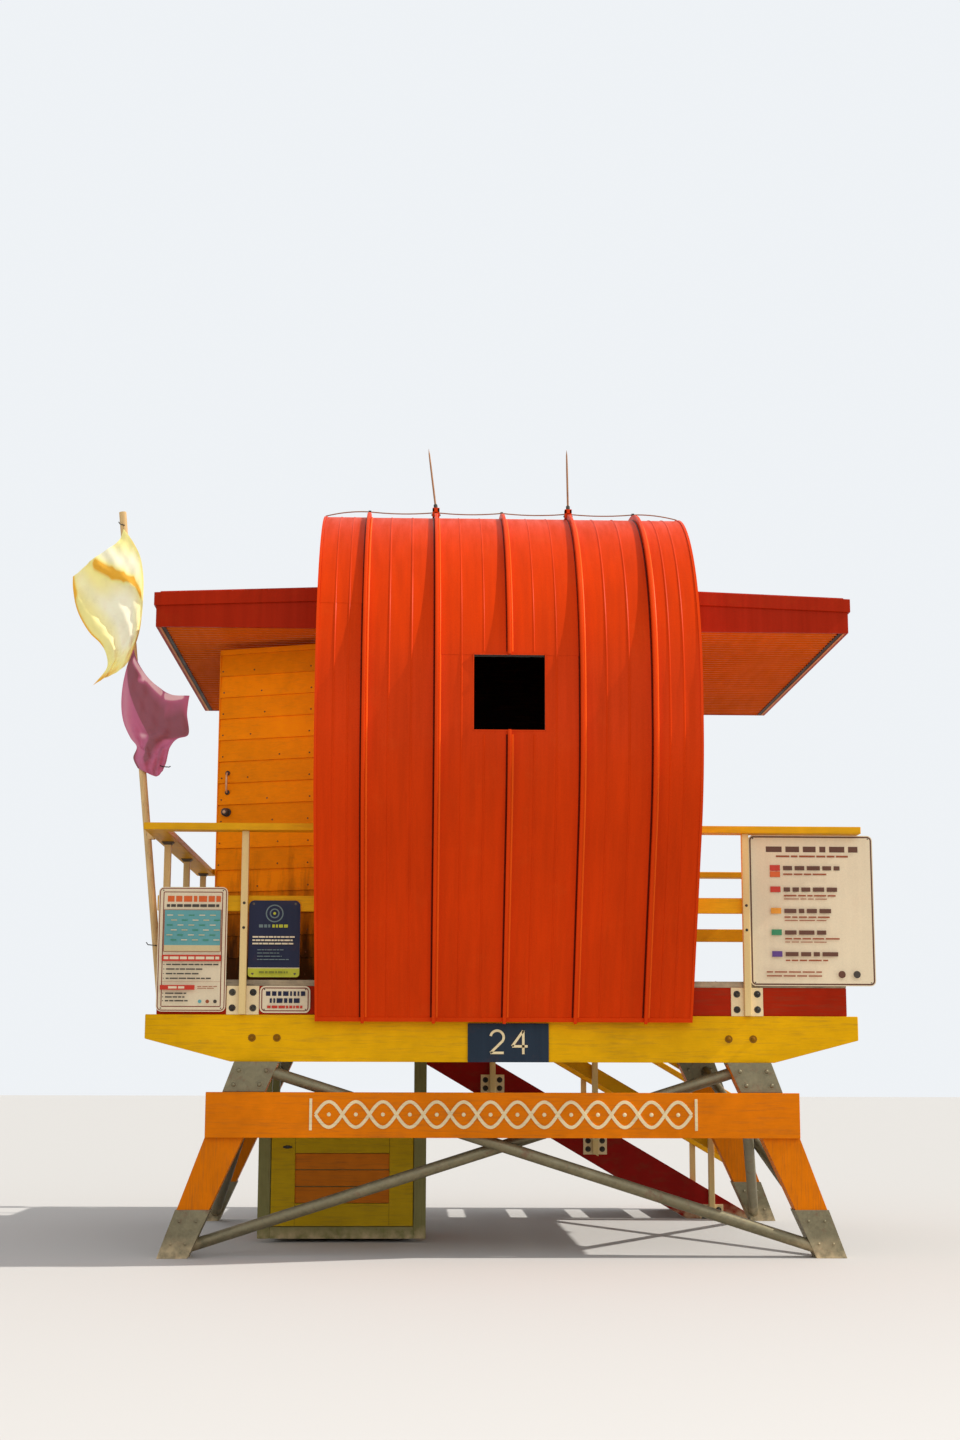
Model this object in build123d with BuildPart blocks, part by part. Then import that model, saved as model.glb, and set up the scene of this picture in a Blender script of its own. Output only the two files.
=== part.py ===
from math import atan2, cos, degrees, radians, sin, sqrt
import os

from build123d import *

# Lifeguard tower on four raked legs. Millimetres, +X right as seen from the land, +Y to the
# ocean, +Z up. The origin is on the ground, in the middle between the four feet.

# Legs, shoes and head plates
leg_row_inset = 35         # middle of a leg row, from the deck's land or ocean side
leg_depth = 140            # timber thickness, along Y
leg_foot_inner = 2009      # inner edge of a front foot from the centre plane
leg_foot_width = 179
leg_head_inner = 1452      # inner edge of a front leg at its head
leg_head_width = 286
back_leg_spread = 90       # the back legs stand this much wider than the front ones
head_plate_height = 180
head_plate_thick = 8
head_cap_thick = 10
shoe_height = 300
shoe_thick = 8
brace_radius = 38
brace_head_drop = 60       # centre of a brace below the leg's head, at the leg's inner edge
brace_foot_rise = 75       # centre of a brace above the ground, at the leg's inner edge
brace_gap = 1
brace_overrun = 160
side_brace_shift = 44      # the two pipes of a side pass beside each other

# Beams, deck and rim
beam_overhang = 70         # ends of the beams past the deck's sides
beam_depth = 300
beam_thick = 90
beam_end_depth = 155
beam_taper_start = 1760    # where the taper begins, from the centre plane
beam_underside = 1228
rim_height = 184
rim_thick = 38
deck_thick = 42
deck_length = 4490         # along X
deck_width = 3120          # along Y
joist_thick = 38
joist_count = 12

# Board between the front legs, and the number plate
name_board_length = 3815
name_board_height = 286
name_board_thick = 38
name_board_top = 1036
name_board_corner = 3
name_board_arris = 2
number_plate_width = 525
number_plate_height = 248
number_plate_thick = 12
number_plate_x = 30
number_plate_corner = 4

# Leaning curved shell, in the plane of Y and Z
shell_width = 2440
shell_thick = 60
shell_base_out = 80        # its lower edge, past the deck's land side
shell_base_z = 1486
shell_lean = 25.4          # degrees from the vertical
shell_lean_length = 1308
shell_knee_radius = 1600
shell_upright = 216
shell_brow_radius = 1400
shell_crown_radius = 6500
roof_back_over = 90        # eaves of shell and wings past the deck's ocean side
seam_pitch = 457
seam_count = 5
seam_height = 38
seam_thick = 22
seam_seat = 0.3
window_width = 450
window_height = 482
window_sill_z = 3275

# Hut walls
wall_thick = 100
wall_seat = 0.3
wall_inset = 40            # from the shell's edge in to the wall's outer face
ocean_wall_y = 800         # outer face
lookout_width = 1600
lookout_height = 1000
lookout_sill = 900         # above the deck

# Door in the left wall
door_width = 795
door_thick = 45
door_jamb_in = 315         # hinge line, behind the shell's lower edge
door_gap = 8               # round the leaf
door_height = 2274
door_open = 69             # degrees, as in the photograph
door_axis_out = 10         # hinge line outside the wall's face
hinge_radius = 9.7
hinge_length = 110
hinge_strap = 95
hinge_strap_thick = 3
hinge_count = 3
handle_from_hinge = 735
handle_z = 3107
handle_length = 165
handle_radius = 8
handle_foot_radius = 6
handle_inset = 18
handle_stand = 45
knob_z = 2903
knob_radius = 28
knob_stand = 40

# Wing roofs over the side decks
wing_side_over = 75        # tips past the deck's sides
wing_front_over = 40       # past the deck's land side
wing_underside = 4080
wing_tip_top = 4312
wing_root_top = 4354
fascia_thick = 22
fascia_drop = 12           # the fascia hangs below the soffit
fascia_cap_height = 90
fascia_cap_out = 14

# Railings
post_side = 46
post_plate_width = 210
post_plate_thick = 12
rail_top = 2762            # height of the top of the top rail
rail_width = 140
rail_thick = 45
mid_board_z = 2195
mid_board_height = 102
mid_board_thick = 38
front_post_inset = (555, 655)  # left and right front post from the deck's sides
side_post_count = 3
side_post_first = 655      # first side post from the deck's land side
side_post_last = 110       # last side post from the deck's ocean side
back_post_count = 4        # right of the landing
back_post_first = 55       # from the deck's right side
back_post_beside = 135     # from the landing's right side to the next post
back_post_left = 110       # last post from the deck's left side
landing_post_inset = 60

# Landing and stair on the ocean side
landing_inset = 360        # from the deck's left side
landing_length = 1000
stair_gap = 140            # deck's edge to the near stringer
stair_clear = 940          # between the stringers
stringer_thick = 38
stringer_depth = 286
riser_count = 10
tread_going = 302
tread_thick = 38
tread_nose = 20
stringer_above = 25        # the stringers' upper edge above the nosings, square to it
stringer_toe = 40
stair_rail_rise = 900      # top of the handrail above the nosings
stair_rail_drop = 430      # down to the lower rail
stair_rail_width = 88
stair_rail_start = 30
stair_post_run = (945, 1770, 2700)  # from the landing
stair_plate_width = 190
stair_plate_height = 150
stair_plate_drop = 150

# Locker under the deck
locker_x = (-1650, -487)
locker_y = (-450, 450)
locker_post = 86
locker_foot = 25
locker_base = 109
locker_top = 790
locker_frame_thick = 25
locker_stile = 165
locker_rail = 153
locker_lid_thick = 30
locker_gap = 4

# Flagpole, against the left side's rim and rail, and flags
pole_foot = (-28, 1551)    # X from the deck's left side, and Z, near its lower end
pole_head = (-396, 5005)
pole_end_z = 1540
pole_beside = 175          # middle of the pole, from the first side post toward the land
pole_bracket = 50
pole_bracket_z = 1630
pole_radius = 25
flag_thick = 40
flag_gap = 0.3
yellow_flag_outline = (    # X from the deck's left side, and Z
    (-395, 4890),
    (-236, 4877),
    (-264, 4292),
    (-316, 4009),
    (-547, 3768),
    (-722, 4514),
)
purple_flag_outline = ((-316, 3967), (108, 3677), (113, 3399), (-150, 3134), (-337, 3673))

# Sign boards
sign_thick = 12
sign_corner = 22
tall_sign_x = (-2, 445)    # from the deck's left side
tall_sign_z = (1545, 2349)
notice_sign_gap = (7, 107)  # from the left front post, and from the shell's side
notice_sign_z = (1768, 2264)
small_sign_gap = (5, 34)   # from that post's plate, and from the shell's side
small_sign_z = (1539, 1712)
flag_sign_gap = 3          # from the right front post
flag_sign_over = 194       # past the deck's right side
flag_sign_z = (1724, 2712)

# Lightning rods and the conductor between them
rod_radius = 8
rod_length = 440
rod_lean = (7, 1)          # degrees, left and right rod
rod_before_crest = 334     # toward the land
clamp_width = 50
clamp_length = 60
clamp_height = 30
conductor_radius = 6
conductor_before_crest = 269

# How far a cut runs past the faces that it opens
cut_past = 5

# Worked out from the sizes above
leg_height = beam_underside - head_cap_thick
beam_top = beam_underside + beam_depth
deck_underside = beam_top + rim_height
deck_top = deck_underside + deck_thick
deck_half_x = deck_length / 2
deck_half_y = deck_width / 2
front_y = leg_row_inset - deck_half_y
back_y = deck_half_y - leg_row_inset
beam_length = deck_length + 2 * beam_overhang
shell_base_y = -deck_half_y - shell_base_out
shell_eave_y = deck_half_y + roof_back_over
door_jamb_y = shell_base_y + door_jamb_in
side_posts_y = (side_post_first - deck_half_y, deck_half_y - side_post_last)
pole_y = side_posts_y[0] - pole_beside
wing_reach = deck_half_x + wing_side_over
wing_front_y = -deck_half_y - wing_front_over
wing_back_y = shell_eave_y
landing_x = (landing_inset - deck_half_x, landing_inset + landing_length - deck_half_x)
wall_out = shell_width / 2 - wall_inset
wall_in = wall_out - wall_thick
riser = deck_top / riser_count
window_z = (window_sill_z, window_sill_z + window_height)
stair_near = deck_half_y + stair_gap
stair_far = stair_near + 2 * stringer_thick + stair_clear

os.makedirs("parts", exist_ok=True)


def block(x, y, z, mode=Mode.ADD):
    """Adds or cuts a box in the part in hand, from the low and high values along each axis."""
    with Locations((sum(x) / 2, sum(y) / 2, sum(z) / 2)):
        Box(x[1] - x[0], y[1] - y[0], z[1] - z[0], mode=mode)


def around(centre, size):
    """The low and high values of a length centred on a place."""
    return (centre - size / 2, centre + size / 2)


def save(builder, name):
    """Labels a finished piece and writes it."""
    builder.part.label = name
    export_step(builder.part, "parts/" + name + ".step")


# Legs

def leg_inner(height, spread=0):
    """Distance of a leg's inner edge from the centre plane at a height."""
    return leg_foot_inner + spread - (leg_foot_inner - leg_head_inner) * height / leg_height


def leg_outer(height, spread=0):
    """Distance of a leg's outer edge from the centre plane at a height."""
    foot = leg_foot_inner + leg_foot_width
    head = leg_head_inner + leg_head_width
    return foot + spread - (foot - head) * height / leg_height


def leg_shape(side, spread, low, high, grow=0):
    """Outline of the stretch of a leg between two heights, seen from the front."""
    with BuildLine() as outline:
        Polyline(
            (side * (leg_inner(low, spread) - grow), low),
            (side * (leg_outer(low, spread) + grow), low),
            (side * (leg_outer(high, spread) + grow), high),
            (side * (leg_inner(high, spread) - grow), high),
            close=True,
        )
    make_face(outline.edges())


def upright(y):
    """Plane of X and Z at a depth, with +Z of the tower as its second axis."""
    return Plane(origin=(0, y, 0), x_dir=(1, 0, 0), z_dir=(0, -1, 0))


leg_rows = (("front_legs", front_y, 0), ("back_legs", back_y, back_leg_spread))
for name, row_y, spread in leg_rows:
    with BuildPart() as legs:
        for side in (-1, 1):
            with BuildSketch(upright(row_y + leg_depth / 2)):
                leg_shape(side, spread, shoe_thick, leg_height)
            extrude(amount=leg_depth)
    save(legs, name)

with BuildPart() as foot_shoes:
    for name, row_y, spread in leg_rows:
        for side in (-1, 1):
            with BuildSketch(upright(row_y + leg_depth / 2 + shoe_thick)):
                leg_shape(side, spread, 0, shoe_height, shoe_thick)
            extrude(amount=leg_depth + 2 * shoe_thick)
            with BuildSketch(upright(row_y + leg_depth / 2)):
                leg_shape(side, spread, shoe_thick, shoe_height + cut_past)
            extrude(amount=leg_depth, mode=Mode.SUBTRACT)
save(foot_shoes, "foot_shoes")

with BuildPart() as head_plates:
    for name, row_y, spread in leg_rows:
        for side in (-1, 1):
            with BuildSketch(upright(row_y + leg_depth / 2 + head_plate_thick)):
                leg_shape(side, spread, leg_height - head_plate_height, beam_underside)
            extrude(amount=leg_depth + 2 * head_plate_thick)
            with BuildSketch(upright(row_y + leg_depth / 2)):
                cut_foot = leg_height - head_plate_height - cut_past
                leg_shape(side, spread, cut_foot, leg_height, leg_head_width)
            extrude(amount=leg_depth, mode=Mode.SUBTRACT)
save(head_plates, "head_plates")


# Pipe braces

def pipe(start, end):
    """Adds a straight pipe between two points, a little past each, to be cut to its seat."""
    start, end = Vector(*start), Vector(*end)
    along = (end - start).normalized()
    with BuildSketch(Plane(origin=start - along * brace_overrun, z_dir=along)) as section:
        Circle(brace_radius)
    extrude(section.sketch, amount=(end - start).length + 2 * brace_overrun)


def leg_middle(height, spread):
    """Distance of the middle of a leg from the centre plane at a height."""
    return (leg_inner(height, spread) + leg_outer(height, spread)) / 2


def outside_leg(side, low, high, seat):
    """Outline of everything outward of a front leg's inner edge, between two heights."""
    with BuildLine() as outline:
        Polyline(
            (side * (leg_inner(low) - seat), low),
            (side * beam_length, low),
            (side * beam_length, high),
            (side * (leg_inner(high) - seat), high),
            close=True,
        )
    make_face(outline.edges())


brace_head_z = leg_height - brace_head_drop
brace_step = 2 * brace_radius + brace_gap
with BuildPart() as front_braces:
    for side, row in ((1, 0), (-1, 1)):
        y = front_y - leg_depth / 2 + brace_gap + brace_radius + row * brace_step
        head = (-side * leg_inner(brace_head_z), y, brace_head_z)
        foot = (side * leg_inner(brace_foot_rise), y, brace_foot_rise)
        pipe(head, foot)
    for side in (-1, 1):
        for low, high, seat in ((-leg_height, shoe_height, shoe_thick), (shoe_height, beam_top, 0)):
            with BuildSketch(upright(front_y + 2 * leg_depth)):
                outside_leg(side, low, high, seat)
            extrude(amount=4 * leg_depth, mode=Mode.SUBTRACT)
save(front_braces, "front_braces")

brace_seat_y = back_y - leg_depth / 2 - head_plate_thick
brace_reach = 2 * leg_depth
with BuildPart() as side_braces:
    for side in (-1, 1):
        for way in (-1, 1):
            shift = way * side_brace_shift
            head_spread = back_leg_spread if way > 0 else 0
            foot_spread = back_leg_spread - head_spread
            head_x = leg_middle(brace_head_z, head_spread) + shift
            foot_x = leg_middle(brace_foot_rise, foot_spread) + shift
            head = (side * head_x, way * brace_seat_y, brace_head_z)
            foot = (side * foot_x, -way * brace_seat_y, brace_foot_rise)
            pipe(head, foot)
    for way in (-1, 1):
        beyond = sorted((way * brace_seat_y, way * (brace_seat_y + brace_reach)))
        block((-deck_length, deck_length), beyond, (-leg_height, beam_top), Mode.SUBTRACT)
save(side_braces, "side_braces")

# Beams

with BuildPart() as beams:
    for row_y in (front_y, back_y):
        with BuildSketch(upright(row_y + beam_thick / 2)):
            with BuildLine():
                Polyline(
                    (0, beam_top),
                    (beam_length / 2, beam_top),
                    (beam_length / 2, beam_top - beam_end_depth),
                    (beam_taper_start, beam_underside),
                    (0, beam_underside),
                )
                mirror(about=Plane.YZ)
            make_face()
        extrude(amount=beam_thick)
save(beams, "beams")

# Board between the front legs, and the number plate

with BuildPart() as name_board:
    face_y = front_y - leg_depth / 2
    board_z = (name_board_top - name_board_height, name_board_top)
    block(around(0, name_board_length), (face_y - name_board_thick, face_y), board_z)
    fillet(name_board.edges().filter_by(Axis.Y), radius=name_board_corner)
    chamfer(name_board.faces().sort_by(Axis.Y)[0].edges(), length=name_board_arris)
save(name_board, "name_board")

with BuildPart() as number_plate:
    face_y = front_y - beam_thick / 2
    plate_z = (beam_underside, beam_underside + number_plate_height)
    block(around(number_plate_x, number_plate_width), (face_y - number_plate_thick, face_y), plate_z)
    fillet(number_plate.edges().filter_by(Axis.Y), radius=number_plate_corner)
save(number_plate, "number_plate")

# Deck

joist_y = deck_half_y - rim_thick
joist_pitch = (deck_length - 2 * rim_thick - joist_thick) / (joist_count - 1)
joist_x = [joist_pitch * (n - (joist_count - 1) / 2) for n in range(joist_count)]
with BuildPart() as deck_joists:
    for x in joist_x:
        block(around(x, joist_thick), (-joist_y, joist_y), (beam_top, deck_underside))
save(deck_joists, "deck_joists")

with BuildPart() as long_rim_boards:
    for side in (-1, 1):
        y = sorted((side * joist_y, side * deck_half_y))
        block((-deck_half_x, deck_half_x), y, (beam_top, deck_underside))
save(long_rim_boards, "long_rim_boards")

with BuildPart() as side_rim_boards:
    for side in (-1, 1):
        x = sorted((side * (deck_half_x - rim_thick), side * deck_half_x))
        block(x, (-joist_y, joist_y), (beam_top, deck_underside))
save(side_rim_boards, "side_rim_boards")

with BuildPart() as decking:
    block((-deck_half_x, deck_half_x), (-deck_half_y, deck_half_y), (deck_underside, deck_top))
save(decking, "decking")

landing_y = (deck_half_y, stair_far)
with BuildPart() as landing:
    block(landing_x, landing_y, (deck_underside, deck_top))
    block(landing_x, landing_y, (beam_top, deck_underside))
    inside_x = (landing_x[0] + rim_thick, landing_x[1] - rim_thick)
    inside_y = (landing_y[0] + rim_thick, landing_y[1] - rim_thick)
    block(inside_x, inside_y, (beam_top, deck_underside), Mode.SUBTRACT)
save(landing, "landing")

# Curved shell

lean = radians(shell_lean)
lean_way = Vector(-sin(lean), cos(lean))
lean_in = Vector(cos(lean), sin(lean))
shell_base = Vector(shell_base_y, shell_base_z)
knee_start = shell_base + lean_way * shell_lean_length
knee_centre = knee_start + lean_in * shell_knee_radius
upright_y = knee_centre.X - shell_knee_radius
brow_centre = Vector(upright_y + shell_brow_radius, knee_centre.Y + shell_upright)
crown_centre = brow_centre + Vector(0, shell_brow_radius - shell_crown_radius)
eave_run = shell_eave_y - crown_centre.X
eave_angle = atan2(sqrt(shell_crown_radius**2 - eave_run**2), eave_run)


def shell_points(depth):
    """Corners of the shell's section at a depth inside its outer face, from base to eave."""
    base = shell_base + lean_in * depth
    knee = knee_start + lean_in * depth
    upright_low = Vector(upright_y + depth, knee_centre.Y)
    upright_high = Vector(upright_y + depth, brow_centre.Y)
    crest = Vector(brow_centre.X, brow_centre.Y + shell_brow_radius - depth)
    reach = shell_crown_radius - depth
    eave = crown_centre + Vector(cos(eave_angle), sin(eave_angle)) * reach
    return base, knee, upright_low, upright_high, crest, eave


def shell_edges(depth):
    """Draws the shell's line at a depth inside its outer face, in the plane of Y and Z."""
    base, knee, upright_low, upright_high, crest, eave = shell_points(depth)
    Line(base, knee)
    CenterArc(knee_centre, shell_knee_radius - depth, 180, shell_lean)
    Line(upright_low, upright_high)
    CenterArc(brow_centre, shell_brow_radius - depth, 90, 90)
    start = degrees(eave_angle)
    CenterArc(crown_centre, shell_crown_radius - depth, start, 90 - start)
    return base, eave


def shell_band(outer, inner):
    """Face between two depths inside the shell's outer face."""
    with BuildLine() as outline:
        outer_base, outer_eave = shell_edges(outer)
        inner_base, inner_eave = shell_edges(inner)
        Line(outer_base, inner_base)
        Line(outer_eave, inner_eave)
    make_face(outline.edges())

window_y = (upright_y - seam_height - cut_past, upright_y + shell_knee_radius / 2)

with BuildPart() as shell:
    with BuildSketch(Plane.YZ.offset(-shell_width / 2)):
        shell_band(0, shell_thick)
    extrude(amount=shell_width)
    block(around(0, window_width), window_y, window_z, Mode.SUBTRACT)
save(shell, "shell")

with BuildPart() as standing_seams:
    for n in range(seam_count):
        x = seam_pitch * (n - (seam_count - 1) / 2)
        with BuildSketch(Plane.YZ.offset(x - seam_thick / 2)):
            shell_band(-seam_height, -seam_seat)
        extrude(amount=seam_thick)
    block(around(0, window_width), window_y, window_z, Mode.SUBTRACT)
save(standing_seams, "standing_seams")


# Hut walls

def under_shell():
    """Face of everything below the shell, down to the deck's top, seen from the right."""
    with BuildLine() as outline:
        base, eave = shell_edges(shell_thick + wall_seat)
        Line(eave, (eave.X, base.Y))
        Line((eave.X, base.Y), base)
    make_face(outline.edges())


door_y = (door_jamb_y, door_jamb_y + door_width + 2 * door_gap)
door_head = deck_top + door_height + 2 * door_gap
wall_top = brow_centre.Y + shell_brow_radius
wall_pieces = (
    ("left_wall_front", -wall_out, (upright_y, door_y[0]), (deck_top, wall_top)),
    ("left_wall_back", -wall_out, (door_y[1], ocean_wall_y), (deck_top, wall_top)),
    ("left_wall_top", -wall_out, door_y, (door_head, wall_top)),
    ("right_wall", wall_in, (upright_y, ocean_wall_y), (deck_top, wall_top)),
)
for name, x, y, z in wall_pieces:
    with BuildPart() as wall:
        with BuildSketch(Plane.YZ.offset(x)):
            under_shell()
        extrude(amount=wall_thick)
        block((x, x + wall_thick), y, z, Mode.INTERSECT)
    save(wall, name)

lookout_z = (deck_top + lookout_sill, deck_top + lookout_sill + lookout_height)
with BuildPart() as ocean_wall:
    with BuildSketch(Plane.YZ.offset(-wall_in)):
        under_shell()
    extrude(amount=2 * wall_in)
    wall_y = (ocean_wall_y - wall_thick, ocean_wall_y)
    block((-wall_in, wall_in), wall_y, (deck_top, wall_top), Mode.INTERSECT)
    block(around(0, lookout_width), wall_y, lookout_z, Mode.SUBTRACT)
save(ocean_wall, "ocean_wall")

# Door, modelled open as in the photograph, in its own plane: X from the hinge line to the
# free edge, Y out of the leaf's weather face, Z up

swing = radians(90 + door_open)
hinge_line = Vector(-wall_out - door_axis_out, door_jamb_y, 0)
door_plane = Plane(origin=hinge_line, x_dir=(cos(swing), sin(swing), 0), z_dir=(0, 0, 1))
leaf_z = (deck_top + door_gap, deck_top + door_gap + door_height)

with BuildPart() as door_leaf:
    with Locations(door_plane.location):
        block((door_gap, door_gap + door_width), (-door_axis_out - door_thick, -door_axis_out), leaf_z)
save(door_leaf, "door_leaf")

with BuildPart() as door_hardware:
    with Locations(door_plane.location):
        for n in range(hinge_count):
            z = leaf_z[0] + door_height * (n + 0.5) / hinge_count
            with Locations((0, 0, z)):
                Cylinder(hinge_radius, hinge_length)
            strap_y = (-door_axis_out, -door_axis_out + hinge_strap_thick)
            block((0, hinge_strap), strap_y, around(z, hinge_length))
        for z in around(handle_z, handle_length - 2 * handle_inset):
            with Locations((handle_from_hinge, -door_axis_out + handle_stand / 2, z)):
                Cylinder(handle_foot_radius, handle_stand, rotation=(90, 0, 0))
        with Locations((handle_from_hinge, -door_axis_out + handle_stand, handle_z)):
            Cylinder(handle_radius, handle_length)
        with Locations((handle_from_hinge, -door_axis_out + knob_stand / 2, knob_z)):
            Cylinder(knob_radius / 2, knob_stand, rotation=(90, 0, 0))
        with Locations((handle_from_hinge, -door_axis_out + knob_stand, knob_z)):
            Cylinder(knob_radius, knob_radius, rotation=(90, 0, 0))
save(door_hardware, "door_hardware")


# Wing roofs

def wing_shape(side, reach, low, rise):
    """Outline of a wing roof from the hut's wall out to a reach, seen from the front."""
    slope = (wing_root_top - wing_tip_top) / (wing_reach - wall_out)
    tip = wing_root_top - slope * (reach - wall_out)
    with BuildLine() as outline:
        Polyline(
            (side * wall_out, low if rise is None else wing_root_top - rise),
            (side * reach, low if rise is None else tip - rise),
            (side * reach, tip),
            (side * wall_out, wing_root_top),
            close=True,
        )
    make_face(outline.edges())


core_y = (wing_front_y + fascia_thick, wing_back_y - fascia_thick)
core_reach = wing_reach - fascia_thick
for name, side in (("left_wing", -1), ("right_wing", 1)):
    with BuildPart() as wing:
        with BuildSketch(upright(core_y[1])):
            wing_shape(side, core_reach, wing_underside + fascia_drop, None)
        extrude(amount=core_y[1] - core_y[0])
    save(wing, name)

with BuildPart() as wing_fascias:
    for side in (-1, 1):
        with BuildSketch(upright(wing_back_y)):
            wing_shape(side, wing_reach, wing_underside, None)
        extrude(amount=wing_back_y - wing_front_y)
        with BuildSketch(upright(wing_back_y + fascia_cap_out)):
            wing_shape(side, wing_reach + fascia_cap_out, None, fascia_cap_height)
        extrude(amount=wing_back_y - wing_front_y + 2 * fascia_cap_out)
        inside_x = sorted((side * (wall_out - cut_past), side * core_reach))
        inside_z = (wing_underside - cut_past, wing_root_top + cut_past)
        block(inside_x, core_y, inside_z, Mode.SUBTRACT)
save(wing_fascias, "wing_fascias")

# Railings. Each run has its own plane: X along the deck's edge, Y outward, Z up from the deck

def run_plane(corner, outward):
    """Plane of a railing run from a place on the deck's edge and the way that it faces."""
    along = Vector(*outward, 0).cross(Vector(0, 0, 1))
    return Plane(origin=(*corner, deck_top), x_dir=along, z_dir=(0, 0, 1))


def plate(x):
    """Adds the bolting plate of a railing post, on the rim board."""
    block(around(x, post_plate_width), (0, post_plate_thick), (beam_top - deck_top, -deck_thick))


def post(x):
    """Adds a railing post in front of its plate."""
    post_y = (post_plate_thick, post_plate_thick + post_side)
    block(around(x, post_side), post_y, (beam_top - deck_top, rail_top - rail_thick - deck_top))


def top_rail(low, high):
    """Adds the flat top rail of a railing between two places."""
    top = rail_top - deck_top
    block((low, high), around(post_plate_thick + post_side / 2, rail_width), (top - rail_thick, top))


def mid_board(low, high):
    """Adds the mid board of a railing, on the inner face of its posts, between two places."""
    board_z = mid_board_z - deck_top
    board_y = (post_plate_thick - mid_board_thick, post_plate_thick)
    block((low, high), board_y, (board_z, board_z + mid_board_height))


# How far the rails' edges and the boards' faces stand out from the deck's edge
rail_out = post_plate_thick + post_side / 2 + rail_width / 2
rail_in = rail_out - rail_width
board_out = post_plate_thick
board_in = board_out - mid_board_thick

land_run = run_plane((0, -deck_half_y), (0, -1))
left_run = run_plane((-deck_half_x, 0), (-1, 0))
right_run = run_plane((deck_half_x, 0), (1, 0))
ocean_run = run_plane((0, deck_half_y), (0, 1))
landing_left_run = run_plane((landing_x[0], 0), (-1, 0))
landing_far_run = run_plane((0, stair_far), (0, 1))
side_spacing = (side_posts_y[1] - side_posts_y[0]) / (side_post_count - 1)
side_posts = [side_posts_y[0] + side_spacing * n for n in range(side_post_count)]

front_posts = (deck_half_x - front_post_inset[0], front_post_inset[1] - deck_half_x)
back_run = (landing_x[1] + back_post_beside, deck_half_x - back_post_first)
back_spacing = (back_run[1] - back_run[0]) / (back_post_count - 1)
back_posts = [back_run[1] - back_spacing * n for n in range(back_post_count)]
back_posts.append(back_post_left - deck_half_x)
landing_posts = (landing_x[0] + landing_post_inset, landing_x[1] - landing_post_inset)
post_runs = (
    (land_run, front_posts),
    (left_run, side_posts),
    (right_run, [-y for y in side_posts]),
    (ocean_run, back_posts),
    (landing_left_run, [(deck_half_y + stair_far) / 2]),
    (landing_far_run, landing_posts),
)

with BuildPart() as railing_posts:
    for run, places in post_runs:
        with Locations(run.location):
            for x in places:
                post(x)
save(railing_posts, "railing_posts")

with BuildPart() as front_rails:
    with Locations(land_run.location):
        top_rail(-deck_half_x - rail_out, -wall_out)
        top_rail(wall_out, deck_half_x + rail_out)
        mid_board(-deck_half_x - board_out, -wall_out)
        mid_board(wall_out, deck_half_x + board_out)
save(front_rails, "front_rails")

with BuildPart() as side_rails:
    for run in (left_run, right_run):
        with Locations(run.location):
            top_rail(-deck_half_y - rail_in, deck_half_y + rail_in)
            mid_board(-deck_half_y - board_in, deck_half_y + board_in)
save(side_rails, "side_rails")

with BuildPart() as back_rails:
    with Locations(ocean_run.location):
        top_rail(-deck_half_x - rail_out, landing_x[0])
        top_rail(landing_x[1], deck_half_x + rail_out)
        mid_board(-deck_half_x - board_out, landing_x[0])
        mid_board(landing_x[1], deck_half_x + board_out)
save(back_rails, "back_rails")

with BuildPart() as landing_rails:
    with Locations(landing_left_run.location):
        top_rail(deck_half_y + rail_out, stair_far + rail_in)
        mid_board(deck_half_y + board_out, stair_far + board_in)
    with Locations(landing_far_run.location):
        top_rail(landing_x[0] - rail_out, landing_x[1])
        mid_board(landing_x[0] - board_out, landing_x[1])
save(landing_rails, "landing_rails")

# Stair, down to the right along the ocean side

stair_slope = riser / tread_going


def nosing_z(x):
    """Height of the line through the treads' noses."""
    return deck_top - (x - landing_x[1]) * stair_slope


def sloped(x, low, high):
    """Face between two heights above the nosings, from one place to another, seen from the land."""
    with BuildLine() as outline:
        Polyline(
            (x[0], nosing_z(x[0]) + low),
            (x[1], nosing_z(x[1]) + low),
            (x[1], nosing_z(x[1]) + high),
            (x[0], nosing_z(x[0]) + high),
            close=True,
        )
    make_face(outline.edges())


stair_end = landing_x[1] + riser_count * tread_going
stair_cos = cos(atan2(riser, tread_going))
stringer_top = stringer_above / stair_cos
stringer_bottom = stringer_top - stringer_depth / stair_cos
with BuildPart() as stair_stringers:
    for y in (stair_near, stair_far - stringer_thick):
        with BuildSketch(upright(y + stringer_thick)):
            sloped((landing_x[1], stair_end + tread_going), stringer_bottom, stringer_top)
        extrude(amount=stringer_thick)
    keep_x = (landing_x[1], stair_end + stringer_toe)
    block(keep_x, (stair_near, stair_far), (0, rail_top), Mode.INTERSECT)
save(stair_stringers, "stair_stringers")

with BuildPart() as stair_treads:
    tread_y = (stair_near + stringer_thick, stair_far - stringer_thick)
    for n in range(1, riser_count):
        x = landing_x[1] + n * tread_going
        z = deck_top - n * riser
        block((x - tread_going, x + tread_nose), tread_y, (z - tread_thick, z))
save(stair_treads, "stair_treads")

stair_sides = ((stair_near, -1), (stair_far, 1))
stair_posts_x = [landing_x[1] + run for run in stair_post_run]
with BuildPart() as stair_posts:
    for y, out in stair_sides:
        post_y = sorted((y + out * post_plate_thick, y + out * (post_plate_thick + post_side)))
        for x in stair_posts_x:
            with BuildSketch(upright(post_y[1])):
                under_rail = stair_rail_rise - rail_thick / stair_cos
                sloped(around(x, post_side), -stair_plate_drop - stair_plate_height / 2, under_rail)
            extrude(amount=post_side)
save(stair_posts, "stair_posts")

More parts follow.
